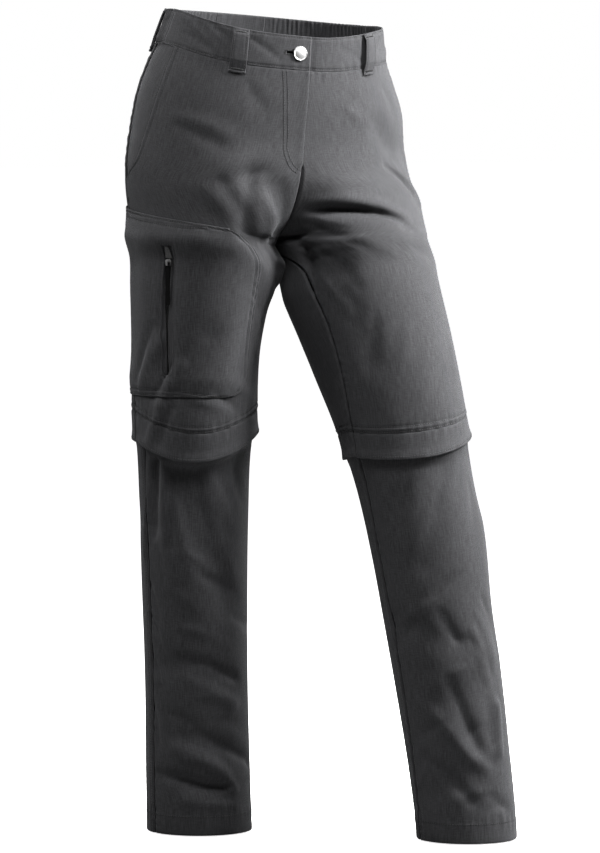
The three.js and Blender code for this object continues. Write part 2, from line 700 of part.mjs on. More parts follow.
const FRONT_TURNS = spread(90, ELASTIC.from, 12);
const UNDERLAP = { slide: 9, width: 34 };
const BUTTON = { turn: 96, down: 21, radius: 9 };
const BUTTONHOLE = { eye: 3.2, slit: 1.3, length: 17 };
{
  const rows = drawnBack(bandRow('right', FRONT_TURNS), { start: HALF, end: HALF, foot: HALF });
  const wall = toSolid(panelWall(THIGH.right, rows, even(BAND_OUT), even(BAND_IN)));
  const hole = new THREE.Shape();
  const bend = Math.asin(BUTTONHOLE.slit / BUTTONHOLE.eye);
  hole.absarc(0, 0, BUTTONHOLE.eye, Math.PI + bend, 3 * Math.PI - bend, false);
  hole.lineTo(-BUTTONHOLE.length, BUTTONHOLE.slit);
  hole.lineTo(-BUTTONHOLE.length, -BUTTONHOLE.slit);
  hole.closePath();
  const bar = new THREE.ExtrudeGeometry(hole, { depth: 16, bevelEnabled: false, curveSegments: 6 });
  bar.translate(0, 0, -8);
  const at = station(THIGH.right, BUTTON.turn, BUTTON.down);
  const cut = wall.subtract(toSolid(setOn(bar, at)));
  addPiece('waistband_front_right', toGeometry(cut), 'cloth');
}
{
  const lapTurns = turnsFor(THIGH.right, 97, BUTTON.down, UNDERLAP.width);
  const leftRows = bandRow('left', [...spread(ELASTIC.from, 90 + UNDERLAP.slide, 11), ...spread(93, 90, 2)]);
  const lapRows = bandRow('right', spread(90, 90 + lapTurns, 4));
  const rows = drawnBack(joined(leftRows, lapRows), { start: HALF, foot: HALF });
  const sunk = BAND_IN - GAP - BAND_OUT;
  const sink = (i) => sunk * smooth((i - 10) / 4);
  const wall = panelWall(THIGH.right, rows, (i) => BAND_OUT + sink(i), (i) => BAND_IN + sink(i));
  addPiece('waistband_front_left', wall, 'cloth');
}
for (const side of ['right', 'left']) {
  const count = ELASTIC.waves * 2;
  const rows = drawnBack(bandRow(side, spread(ELASTIC.from, ELASTIC.to, count)), { start: HALF, end: HALF, foot: HALF });
  const strength = (share) => {
    const ends = smooth(share * 12) * smooth((1 - share) * 12);
    const pulled = side === 'right' ? 1 : 1 - 0.7 * smooth((share - 0.45) * 4);
    return ends * pulled;
  };
  const wave = (i) => (i % 2 === 0 ? -1 : 1) * ELASTIC.high * strength(i / count);
  const wall = panelWall(THIGH[side], rows, (i) => BAND_OUT + wave(i), (i) => BAND_IN + wave(i));
  addPiece(`waistband_elastic_${side}`, wall, 'cloth');
}
{
  const right = bandRow('right', spread(ELASTIC.to, 270, 3));
  const left = bandRow('left', spread(270, ELASTIC.to, 3));
  const rows = drawnBack(joined(right, left), { start: HALF, end: HALF, foot: HALF });
  const wall = panelWall(THIGH.right, rows, even(BAND_OUT), even(BAND_IN));
  addPiece('waistband_back', wall, 'cloth');
}

// Belt loops: a strip sewn down at both ends that stands off the band between them
const LOOP = { width: 20, thick: 1.8 };
const LOOP_ROWS = [
  { down: 0.5, stand: 0.05 },
  { down: 3, stand: 0.25 },
  { down: 8, stand: 0.85 },
  { down: 16, stand: 1 },
  { down: 30, stand: 1 },
  { down: 38, stand: 0.9 },
  { down: 44, stand: 0.45 },
  { down: 49, stand: 0.05 },
  { down: 55, stand: 0 },
];
function beltLoop(name, tube, grid, base, stand) {
  const inner = (i, j) => base + stand * LOOP_ROWS[j].stand;
  addPiece(name, panelWall(tube, grid, (i, j) => inner(i, j) + LOOP.thick, inner), 'cloth');
}
const LOOP_PLACES = [
  { name: 'front_right', side: 'right', turn: 127.5, footTurn: 125, stand: 4.4, over: 0, foot: 55 },
  { name: 'side_right', side: 'right', turn: 204, footTurn: 204, stand: 1.4, over: ELASTIC.high, foot: 55 },
  { name: 'front_left', side: 'left', turn: 128.5, footTurn: 126.5, stand: 4.4, over: 0, foot: 51 },
  { name: 'side_left', side: 'left', turn: 204, footTurn: 204, stand: 1.4, over: ELASTIC.high, foot: 55 },
];
const LOOP_BASE = BAND_OUT + GAP;
const LOOP_FOOT = LOOP_ROWS[LOOP_ROWS.length - 1].down;
for (const place of LOOP_PLACES) {
  const tube = THIGH[place.side];
  const reach = turnsFor(tube, place.turn, BAND / 2, LOOP.width / 2);
  const grid = LOOP_ROWS.map(({ down }) => {
    const share = down / LOOP_FOOT;
    const middle = mix(place.turn, place.footTurn, share);
    return spread(middle - reach, middle + reach, 2).map((turn) => station(tube, turn, share * place.foot));
  });
  beltLoop(`belt_loop_${place.name}`, tube, grid, LOOP_BASE + place.over, place.stand);
}
{
  const reach = turnsFor(THIGH.right, 266, BAND / 2, LOOP.width / 2);
  const grid = LOOP_ROWS.map(({ down }) => [
    station(THIGH.right, 270 - reach, down),
    centreStation(THIGH.right, 270, down),
    station(THIGH.left, 270 - reach, down),
  ]);
  beltLoop('belt_loop_back', THIGH.right, grid, LOOP_BASE, 6.8);
}

// Waist button on its shank, through the buttonhole to the underlap
{
  const profile = [
    [0, -1.7], [2.4, -1.7], [2.4, 1.1], [8.3, 1.1], [9, 1.7], [9, 2.7], [8.4, 3.3], [7.4, 3.1], [5, 3.8],
    [2.5, 4.2], [0, 4.3],
  ];
  const points = profile.map(([r, h]) => new THREE.Vector2(r, h));
  const lathe = new THREE.LatheGeometry(points, 20);
  lathe.rotateX(Math.PI / 2);
  const at = station(THIGH.right, BUTTON.turn, BUTTON.down);
  addPiece('waist_button', setOn(lathe, at), 'steel');
}

// Cargo pocket on the right thigh
const CARGO = {
  front: 71, frontFoot: 60, back: 214, foot: 466, cornerTurn: 26, topCorner: 46, footCorner: 30, wall: 1.8, puff: 3.4,
};
const cargoTop = (turn) => mix(267, 245, (turn - 86) / 120);
function cornerInset(fromEdge, height) {
  return fromEdge >= height ? 0 : 1 - Math.sqrt(1 - (1 - fromEdge / height) ** 2);
}
function cargoPlace(across, below) {
  const bend = (1 - Math.cos(below * Math.PI)) / 2;
  const tall = CARGO.foot - cargoTop(130);
  const atTop = cornerInset(bend * tall, CARGO.topCorner);
  const atFoot = cornerInset((1 - bend) * tall, CARGO.footCorner);
  const edge = mix(CARGO.front, CARGO.frontFoot, bend);
  const front = edge + CARGO.cornerTurn * Math.max(atTop, atFoot);
  const turn = mix(front, CARGO.back, across);
  return { turn, down: mix(cargoTop(turn), CARGO.foot, bend) };
}
function cargoPuff(at) {
  const tall = Math.min(at.down - cargoTop(at.turn), CARGO.foot - at.down);
  const broad = Math.min(at.turn - CARGO.front, CARGO.back - at.turn) * 1.45;
  return CARGO.puff * smooth(tall / 24) * smooth(broad / 30);
}
const SLOT = { top: 287, foot: 441, width: 16.5 };
const SLOT_LINE = [{ down: 287, turn: 145 }, { down: 364, turn: 146.6 }, { down: 441, turn: 143.2 }];
const slotTurn = (down) => along(SLOT_LINE, 'turn', down);
// A strip along the slot: how far it reaches to each side of the slot's middle, in millimetres
function slotStrip(columns, rowCount, top, foot, reach) {
  const tube = THIGH.right;
  return patchGrid(tube, columns, rowCount, (across, below) => {
    const down = mix(top, foot, below);
    const { before, after } = reach(down);
    const degrees = turnsFor(tube, slotTurn(down), down, 1);
    return { turn: slotTurn(down) + mix(-before, after, across) * degrees, down };
  });
}
{
  const tube = THIGH.right;
  const whole = joined(PANELS.right.front, PANELS.right.back);
  const rows = part(whole, rowAt(214), whole.length - 1, 3, FRONT_COLUMNS + 3);
  const inner = (i, j) => GAP + cargoPuff(rows[j][i]);
  const wall = toSolid(panelWall(tube, rows, (i, j) => inner(i, j) + CARGO.wall, inner));
  const outline = cutter(tube, 12, 16, cargoPlace, 14);
  const slotSides = (down) => {
    const round = Math.sqrt(1 - clamp((down - (SLOT.foot - 8)) / 8.4, 0, 1) ** 2);
    return { before: (SLOT.width / 2) * round, after: (SLOT.width / 2) * round };
  };
  const slot = toSolid(panelWall(tube, slotStrip(2, 20, SLOT.top, SLOT.foot, slotSides), even(14), even(-4)));
  addPiece('cargo_pocket', toGeometry(wall.intersect(outline).subtract(slot)), 'cloth');
}

// Cargo zip: tape, two lips, slider, pull and the small guard above the slider. The layers lie between
// panel and pocket, at shares of the pocket's puff.
const TAPE = { low: 0.2, high: 0.5, reach: 13, overrun: 6 };
const LIP = { low: 0.59, high: 0.88, under: 4, overrun: 3 };
const ZIP_GAP = { wide: 6, narrow: 1.8, from: 356, to: 368, off: 0.6, turn: 0.4 };
const GUARD = { top: SLOT.top + 0.5, foot: 303.6, topWidth: 6, footWidth: 11, low: 0.98, high: 1.2 };
const ZIP_COLUMNS = { from: 9, to: 13 };
{
  const tube = THIGH.right;
  const first = rowAt(256);
  const rows = part(PANELS.right.front, first, PANELS.right.front.length - 1, ZIP_COLUMNS.from, ZIP_COLUMNS.to);
  const layer = (strip, { low, high }) => {
    const level = (share) => (i, j) => GAP + share * Math.max(cargoPuff(rows[j][i]), 0.5);
    const outline = toSolid(panelWall(tube, strip, even(9), even(-4)));
    return toGeometry(toSolid(panelWall(tube, rows, level(high), level(low))).intersect(outline));
  };
  const tape = slotStrip(1, 12, SLOT.top - TAPE.overrun, SLOT.foot + TAPE.overrun,
    () => ({ before: TAPE.reach, after: TAPE.reach }));
  addPiece('cargo_zip_tape', layer(tape, TAPE), 'tape');
  const gapAt = (down) => {
    const share = smooth((down - ZIP_GAP.from) / (ZIP_GAP.to - ZIP_GAP.from));
    return mix(ZIP_GAP.wide, ZIP_GAP.narrow, share) / 2;
  };
  const reach = SLOT.width / 2 + LIP.under;
  const lips = {
    front: (down) => ({ before: reach, after: ZIP_GAP.off - gapAt(down) }),
    back: (down) => ({ before: -ZIP_GAP.off - gapAt(down), after: reach }),
  };
  for (const [name, sides] of Object.entries(lips)) {
    const strip = slotStrip(1, 18, SLOT.top - LIP.overrun, SLOT.foot + LIP.overrun, sides);
    addPiece(`cargo_zip_lip_${name}`, layer(strip, LIP), 'cloth');
  }
  const half = (down) => mix(GUARD.topWidth, GUARD.footWidth, (down - GUARD.top) / (GUARD.foot - GUARD.top)) / 2;
  const guard = slotStrip(1, 3, GUARD.top, GUARD.foot,
    (down) => ({ before: half(down) - ZIP_GAP.off, after: half(down) + ZIP_GAP.off }));
  addPiece('cargo_zip_guard', layer(guard, GUARD), 'cloth');
}

const SLIDER = { down: 309, width: 8.6, tall: 8.4, low: 3.9, high: 5.1, stemLow: 2.6 };
const ARCH = { width: 2.2, tall: 6.8, open: 4.4, room: 2, thick: 1.2 };
const PULL = { width: 5.6, length: 52, thick: 1.2, bar: 0.65, arm: 1.6, hole: 4.6 };
const sliderAt = onFacets(PANELS.right.front, slotTurn(SLIDER.down) + ZIP_GAP.turn, SLIDER.down);
const pullEnd = onFacets(PANELS.right.front, slotTurn(SLIDER.down) + ZIP_GAP.turn, SLIDER.down + PULL.length);
const hang = sliderAt.point.clone().sub(pullEnd.point).normalize();
sliderAt.normal.addScaledVector(hang, -sliderAt.normal.dot(hang)).normalize();

// A box with rounded upright corners, from one height to another
function roundBox(width, tall, low, high, corner) {
  const shape = new THREE.Shape();
  const x = width / 2;
  const y = tall / 2;
  shape.moveTo(-x + corner, -y);
  shape.lineTo(x - corner, -y);
  shape.quadraticCurveTo(x, -y, x, -y + corner);
  shape.lineTo(x, y - corner);
  shape.quadraticCurveTo(x, y, x - corner, y);
  shape.lineTo(-x + corner, y);
  shape.quadraticCurveTo(-x, y, -x, y - corner);
  shape.lineTo(-x, -y + corner);
  shape.quadraticCurveTo(-x, -y, -x + corner, -y);
  const box = new THREE.ExtrudeGeometry(shape, { depth: high - low, bevelEnabled: false, curveSegments: 3 });
  box.translate(0, 0, low);
  return box;
}

function plainBox(width, tall, thick, x, y, z) {
  const box = new THREE.BoxGeometry(width, tall, thick);
  box.translate(x, y, z);
  return toSolid(box);
}

{
  const plate = toSolid(roundBox(SLIDER.width, SLIDER.tall, SLIDER.low, SLIDER.high, 2.4));
  const stem = toSolid(roundBox(4.6, SLIDER.tall - 2, SLIDER.stemLow, SLIDER.low + 0.6, 1));
  const archTop = SLIDER.high + ARCH.room + ARCH.thick;
  const archBlock = plainBox(ARCH.width, ARCH.tall, archTop - SLIDER.high + 0.5, 0, 0, (archTop + SLIDER.high - 0.5) / 2);
  const archRoom = plainBox(ARCH.width * 2, ARCH.open, ARCH.room, 0, 0, SLIDER.high + ARCH.room / 2);
  const slider = plate.add(stem).add(archBlock.subtract(archRoom));
  addPiece('cargo_zip_slider', setOn(toGeometry(slider), sliderAt), 'steel');
}

// The pull turns on its own cross bar, which runs through the arch of the slider
const pullHinge = new THREE.Group();
pullHinge.name = 'zip_pull_hinge';
const hingeHigh = SLIDER.high + ARCH.room / 2;
pullHinge.position.copy(sliderAt.point).addScaledVector(sliderAt.normal, hingeHigh);
trousers.add(pullHinge);
{
  const bar = new THREE.CylinderGeometry(PULL.bar, PULL.bar, PULL.width, 10);
  bar.rotateZ(Math.PI / 2);
  const armX = (PULL.width - PULL.arm) / 2;
  const arms = [-armX, armX].map((x) => plainBox(PULL.arm, PULL.hole + 0.6, PULL.thick, x, -(PULL.hole + 0.6) / 2, 0));
  const tabLength = PULL.length - PULL.hole;
  const tab = toSolid(roundBox(PULL.width, tabLength, -PULL.thick / 2, PULL.thick / 2, 1.4));
  const pull = toSolid(bar).add(arms[0]).add(arms[1]).add(tab.translate([0, -PULL.hole - tabLength / 2, 0]));
  const placed = setOn(toGeometry(pull), { point: new THREE.Vector3(), normal: sliderAt.normal });
  addPiece('cargo_zip_pull', placed, 'pull', pullHinge);
}

// Cover flaps that hang from the zip-off seam, and the zip beneath them
function flapTall(side, turn) {
  const { inner, front, outer, back } = FLAP[side];
  const toSide = mix(mix(inner, front, smooth((turn - 30) / 60)), outer, smooth((turn - 80) / 70));
  return mix(mix(toSide, back, smooth((turn - 200) / 80)), inner, smooth((turn - 290) / 60));
}
const FLAP_FLARE = 0.8;
const ZIP_OFF = { above: 8, below: 22, out: UNDER - 0.3, deep: 1.3, opening: 0.6, apart: 0.8 };
for (const side of ['right', 'left']) {
  const tube = THIGH[side];
  for (const half of ['front', 'back']) {
    const grid = legGrid(tube, half, FRONT_COLUMNS, [0, 0.5, 1], (turn, share) => {
      return seamDown(side, turn) + share * flapTall(side, turn);
    });
    const rows = drawnBack(grid, { start: HALF, end: HALF, top: HALF });
    const flare = (j) => (FLAP_FLARE * j) / 2;
    const wall = panelWall(tube, rows, (i, j) => flare(j), (i, j) => flare(j) - WALL);
    addPiece(`flap_${half}_${side}`, wall, 'cloth');
  }
  const downAt = (turn, share) => seamDown(side, turn) + mix(-ZIP_OFF.above, ZIP_OFF.below, share);
  const grids = ['front', 'back'].map((half) => legGrid(tube, half, FRONT_COLUMNS, [0, 1], downAt));
  const rows = drawnBack(joined(...grids), { start: ZIP_OFF.opening, end: ZIP_OFF.opening });
  addPiece(`leg_zip_${side}`, panelWall(tube, rows, even(ZIP_OFF.out), even(ZIP_OFF.out - ZIP_OFF.deep)), 'tape');
}

// Lower legs: tucked under the flap at the top, and turned up at the hem
const TUCK = { inside: 2, run: 28 };
const HEM_FOLD = { tall: 26, share: 0.96, thick: 0.8 };
function lowerStation(side) {
  return (tube, turn, down) => {
    const own = station(tube, turn, down);
    const below = down - seamDown(side, turn) - flapTall(side, turn) + TUCK.inside;
    const share = smooth(below / TUCK.run);
    if (share === 1) {
      return own;
    }
    const over = station(THIGH[side], turn, down);
    const point = over.point.addScaledVector(over.normal, UNDER).lerp(own.point, share);
    const normal = over.normal.lerp(own.normal, share).normalize();
    return { point, normal, turn, down };
  };
}
for (const side of ['right', 'left']) {
  const tube = SHIN[side];
  const shares = [...spread(0, HEM_FOLD.share, SHIN_ROWS), 1];
  const downAt = (turn, share) => {
    const top = seamDown(side, turn) + ZIP_OFF.below + ZIP_OFF.apart;
    return share === 1 ? HEM : mix(top, HEM - HEM_FOLD.tall, share / HEM_FOLD.share);
  };
  for (const half of ['front', 'back']) {
    const grid = legGrid(tube, half, SHIN_COLUMNS, shares, downAt, lowerStation(side));
    const rows = drawnBack(grid, { start: HALF, end: HALF });
    const inner = (i, j) => -WALL - (j >= SHIN_ROWS ? HEM_FOLD.thick : 0);
    addPiece(`lower_leg_${half}_${side}`, panelWall(tube, rows, even(0), inner), 'cloth');
  }
}

export default trousers;
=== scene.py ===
"""Zip-off hiking trousers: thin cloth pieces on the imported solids, with their seams, stitches and zips.

Shapes are worked out in millimetres, on rings round each leg, and made in metres. A place on the cloth is
a turn round the leg, in degrees from its inside by way of the front, and a drop below the waist.
"""

import bpy
import numpy as np
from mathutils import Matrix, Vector


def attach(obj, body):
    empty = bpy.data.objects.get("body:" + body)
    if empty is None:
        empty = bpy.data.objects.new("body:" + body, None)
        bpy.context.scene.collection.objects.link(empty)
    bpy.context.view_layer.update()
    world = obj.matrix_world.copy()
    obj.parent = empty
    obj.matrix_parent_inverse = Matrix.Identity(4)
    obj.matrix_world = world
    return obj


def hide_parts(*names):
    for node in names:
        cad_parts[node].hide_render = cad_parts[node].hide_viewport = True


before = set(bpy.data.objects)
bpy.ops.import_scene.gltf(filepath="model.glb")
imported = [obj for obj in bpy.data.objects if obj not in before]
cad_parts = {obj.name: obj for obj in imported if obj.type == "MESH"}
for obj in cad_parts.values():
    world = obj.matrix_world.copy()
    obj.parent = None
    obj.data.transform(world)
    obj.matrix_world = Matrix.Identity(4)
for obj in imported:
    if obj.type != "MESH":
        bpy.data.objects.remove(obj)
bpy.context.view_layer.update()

# Thickness of the solids' walls and of the sheets, and the room between two layers
WALL, CLOTH, GAP = 2.0, 1.0, 0.3
# Outer face of a layer that lies behind a wall
UNDER = -WALL - GAP
# Height of the waist's middle over the origin, and drops of the band's foot, the crotch and the hems
TOP, BAND, CROTCH, HEM = 8.0, 42.0, 281.0, 1011.0
# Degrees by which the hips tilt, with the right one higher
HIP_TILT = 4.4

ZIP_SEAM = {
    "right": {"down": 485.0, "dip": 25.5, "turn": 114.0, "power": 2},
    "left": {"down": 497.0, "dip": 22.0, "turn": 95.0, "power": 1},
}
FLAP = {
    "right": {"inner": 28, "front": 33, "outer": 37, "back": 30},
    "left": {"inner": 31, "front": 31, "outer": 26, "back": 30},
}


def table(names, rows):
    """The columns of a table by name."""
    return dict(zip(names.split(), np.array(rows, float).T))


HIP_RINGS = {
    "right": table("down mid reach set front back dip rise sag roll pitch", [
        (0, 0, 140, 0, 102, 104, 24, 4, 3, 4.4, 0),
        (42, 0, 152, 4, 107, 108, 24, 4, 4, 4.4, 0),
        (72, 0, 163, 6, 110, 111, 19, 3, 3, 4.4, 0),
        (105, 3, 171, 9, 113, 115, 12, 2, 1.5, 4.4, 0),
        (150, 10, 175.5, 11, 114, 119, 5, 0, 0, 4.4, 0),
        (190, 27, 177, 12, 114, 118, 0, 0, 0, 4, 0),
        (220, 56, 173, 12, 112, 114, 0, 0, 0, 3.4, 0),
        (250, 72, 166.5, 11, 108, 110, 0, 0, 0, 2.8, 0),
        (270, 81, 164.5, 10, 105, 106, 0, 0, 0, 2.4, 0),
        (281, 84, 165, 10, 103, 104, 0, 0, 0, 2.2, 0),
    ]),
    "left": table("down mid reach set front back dip rise sag roll pitch", [
        (0, 0, 140, 0, 102, 104, 24, 4, -4, 4.4, 0),
        (42, 0, 150, 4, 107, 108, 24, 4, -4, 4.4, 0),
        (72, 0, 164, 6, 110, 111, 19, 3, -3, 4.4, 0),
        (105, 3, 179, 9, 113, 115, 12, 2, -1, 4.4, 0),
        (150, 10, 187, 10, 114, 119, 5, 0, 0, 4.2, 0),
        (190, 27, 196, 4, 114, 118, 0, 0, 0, 3, 0),
        (220, 60, 203, -7, 110, 115, 0, 0, 0, 1.5, -2),
        (250, 86, 202, -24, 106, 112, 0, 0, 0, 0, -5),
        (270, 97, 201, -36, 104, 109, 0, 0, 0, -1, -8),
        (281, 100, 200, -42, 103, 107, 0, 0, 0, -1.5, -10),
    ]),
}

THIGH_RINGS = {
    "right": table("down x y side front back roll pitch", [
        (306, -96, 10, 84.5, 98, 99, 2, 0),
        (337, -97, 9, 84, 93, 94, 1, 0),
        (413, -105.5, 6, 76.5, 84, 85, 0, 0),
        (477, -110, 5, 77.5, 82, 81, 0, 0),
        (560, -107, 5, 75, 80, 79, 0, 0),
    ]),
    "left": table("down x y side front back roll pitch", [
        (306, 87, -56, 94, 99, 100, -2, -11),
        (337, 86, -70, 94, 97, 96, -5, -14),
        (414, 96, -103, 88, 88, 88, -7, -16),
        (498, 108.5, -132, 79.5, 82, 80, -9, -12),
        (570, 115, -152, 75, 77, 76, -9, -11),
    ]),
}

SHIN_RINGS = {
    "right": table("down x y side front back roll pitch", [
        (500, -110, 5, 74, 77, 76, 0, 0),
        (545, -110, 7, 70, 70, 70, 0, 0),
        (600, -109.5, 8, 68, 68, 68, 0, 0),
        (684, -108.5, 9, 66, 66, 67, 0, 0),
        (823, -106, 9, 64, 64, 65, 0, 0),
        (938, -104, 9, 65, 65, 65, 0, 0),
        (1011, -102, 9, 65.5, 65.5, 65.5, 0, 0),
    ]),
    "left": table("down x y side front back roll pitch", [
        (515, 110, -137, 75, 76, 75, -9, -12),
        (573, 117, -152, 71, 71, 70, -9, -11),
        (652, 127, -168, 69.5, 69, 69, -8, -10),
        (738, 134.5, -180, 66, 66, 66, -7, -7),
        (823, 146, -189, 65.5, 65, 65, -7, -6),
        (905, 155, -196, 63.2, 64, 64, -5, -4),
        (972, 161.5, -201, 62.5, 63, 63, -2, -1),
        (1011, 164, -203, 62, 62, 62, 0, 0),
    ]),
}

SIDE_SEAM = table("down turn", [
    (0, 189),
    (150, 195),
    (260, 194),
    (500, 187),
    (1011, 184),
])
INSEAM = {
    "right": table("down turn", [
        (281, 0),
        (1011, 0),
    ]),
    "left": table("down turn", [
        (281, 0),
        (310, 20),
        (360, 26),
        (430, 23),
        (500, 12),
        (560, 7.5),
        (650, 3.5),
        (800, 5),
        (900, 1),
        (1011, -5),
    ]),
}
MOUTH = table("down turn", [
    (42, 166),
    (100, 165.5),
    (152, 170),
    (188, 177),
    (206, 190),
])
SLOT_LINE = table("down turn", [
    (287, 145),
    (364, 146.6),
    (441, 143.2),
])
# turn, down, to turn, to down, half width, height
THIGH_FOLDS = {
    "right": [
        (113, 192, 53, 335, 24, 5),
        (27, 292, 24, 326, 20, 6.5),
        (104, 198, 38, 262, 16, -7),
        (151, 300, 147, 440, 17, -3),
        (167, 290, 166, 410, 18, 2.5),
        (132, 455, 108, 395, 18, -3),
        (232, 262, 292, 290, 18, -5),
        (226, 330, 300, 322, 18, -3.5),
        (300, 440, 236, 462, 18, -3),
    ],
    "left": [
        (60, 227, 103, 236, 16, -9),
        (103, 236, 138, 247, 16, -6),
        (84, 204, 128, 214, 20, 4),
        (74, 264, 128, 278, 26, 4),
        (127, 122, 136, 154, 18, -3),
        (150, 160, 158, 190, 18, -3),
        (46, 320, 52, 430, 20, -3),
        (122, 330, 96, 470, 30, 2.5),
        (228, 268, 286, 276, 18, -5),
        (236, 350, 300, 330, 20, -3.5),
        (230, 470, 300, 455, 18, -3),
    ],
}
SHIN_FOLDS = {
    "right": [
        (160, 530, 157, 625, 15, -3.5),
        (126, 560, 75, 722, 20, -4.5),
        (142, 600, 100, 745, 20, 2.5),
        (148, 800, 75, 816, 17, -3.5),
        (118, 890, 61, 912, 16, -3),
        (130, 943, 79, 957, 14, -3.5),
        (225, 620, 300, 672, 20, -4),
        (232, 772, 305, 800, 18, -3),
        (240, 900, 296, 922, 16, -3),
    ],
    "left": [
        (96, 575, 55, 668, 20, -3),
        (10, 735, 80, 770, 18, -3),
        (60, 838, 122, 812, 18, -2.5),
        (142, 640, 134, 790, 24, 2.5),
        (70, 925, 20, 950, 16, -2.5),
        (222, 640, 300, 610, 20, -4),
        (232, 800, 302, 782, 18, -3),
        (238, 930, 290, 915, 16, -3),
    ],
}

# Smaller creases of the cloth alone: turn, down, to turn, to down, half width, height
CREASES = {
    "right thigh": [
        (118, 205, 62, 300, 9, -3.0),
        (126, 214, 96, 262, 8, 1.8),
        (150, 128, 118, 150, 10, 1.6),
        (148, 142, 120, 168, 8, -1.4),
        (118, 70, 104, 120, 10, -1.2),
        (66, 318, 60, 372, 9, -1.8),
        (58, 372, 40, 430, 9, 1.6),
        (40, 330, 8, 352, 8, -2.4),
        (46, 300, 14, 312, 7, 2.0),
        (78, 452, 52, 470, 8, 1.8),
        (96, 462, 70, 486, 7, -1.8),
        (120, 470, 92, 480, 6, 1.4),
        (252, 130, 218, 150, 12, -1.6),
        (236, 222, 282, 250, 12, -2.6),
        (226, 240, 262, 262, 9, 2.0),
        (250, 300, 318, 296, 9, -2.6),
        (262, 318, 330, 334, 9, 2.0),
        (238, 372, 290, 366, 10, -2.0),
        (262, 404, 322, 392, 10, 1.8),
        (312, 420, 352, 440, 9, -2.0),
        (244, 436, 286, 452, 8, 1.6),
    ],
    "left thigh": [
        (52, 205, 84, 215, 7, -3.4),
        (60, 240, 96, 258, 8, -3.2),
        (46, 250, 72, 292, 8, -3.0),
        (58, 262, 92, 300, 8, 1.8),
        (40, 290, 60, 340, 8, -2.4),
        (34, 320, 48, 372, 7, 1.8),
        (96, 244, 130, 262, 8, 2.0),
        (112, 296, 138, 306, 9, -1.6),
        (66, 378, 46, 440, 9, -1.8),
        (88, 398, 70, 452, 9, 1.6),
        (112, 452, 90, 484, 8, -1.6),
        (134, 420, 128, 470, 9, 1.6),
        (138, 70, 142, 110, 9, -1.4),
        (108, 96, 122, 120, 9, 1.2),
        (252, 130, 218, 150, 12, -1.6),
        (236, 230, 292, 248, 10, -2.6),
        (228, 250, 270, 264, 8, 2.0),
        (250, 306, 316, 290, 9, -2.6),
        (262, 330, 330, 318, 9, 2.0),
        (240, 388, 300, 372, 10, -2.0),
        (256, 420, 316, 430, 9, 1.8),
        (246, 452, 290, 462, 8, 1.6),
    ],
    "right shin": [
        (148, 545, 152, 640, 8, 1.8),
        (134, 552, 128, 610, 7, -1.8),
        (112, 560, 92, 640, 9, -1.8),
        (96, 566, 70, 628, 9, 1.8),
        (70, 552, 52, 600, 8, -2.0),
        (120, 660, 86, 690, 8, 2.0),
        (104, 690, 62, 712, 8, -2.2),
        (146, 700, 112, 730, 9, 1.8),
        (130, 752, 84, 772, 8, 1.8),
        (66, 742, 30, 760, 8, -2.0),
        (112, 838, 66, 846, 8, 1.8),
        (148, 860, 118, 874, 8, -1.8),
        (96, 868, 52, 880, 8, -1.6),
        (130, 916, 82, 930, 7, 1.8),
        (104, 972, 60, 978, 7, 1.4),
        (238, 566, 300, 590, 9, -2.2),
        (226, 600, 286, 622, 8, 1.8),
        (246, 690, 320, 712, 9, 1.8),
        (236, 736, 292, 750, 8, -1.8),
        (252, 836, 322, 852, 9, -1.8),
        (236, 870, 288, 884, 8, 1.6),
        (246, 954, 306, 962, 7, -1.6),
    ],
    "left shin": [
        (112, 560, 84, 610, 8, 1.8),
        (128, 590, 118, 650, 8, -1.8),
        (76, 600, 46, 650, 8, 1.8),
        (56, 572, 36, 610, 8, -2.2),
        (96, 690, 60, 716, 8, -1.8),
        (122, 726, 138, 800, 8, -2.4),
        (110, 742, 124, 824, 8, 2.0),
        (96, 770, 128, 850, 8, -2.0),
        (58, 716, 24, 738, 8, 1.8),
        (80, 800, 40, 822, 8, 1.8),
        (52, 862, 16, 880, 8, -2.0),
        (98, 872, 62, 890, 8, -1.8),
        (118, 900, 86, 918, 7, 1.6),
        (92, 948, 50, 958, 7, 1.6),
        (112, 968, 78, 974, 6, -1.4),
        (236, 570, 296, 556, 9, -2.2),
        (226, 596, 284, 588, 8, 1.8),
        (246, 690, 318, 668, 9, 1.8),
        (236, 730, 300, 716, 8, -1.8),
        (252, 852, 322, 838, 9, -1.8),
        (236, 880, 290, 872, 8, 1.6),
    ],
}

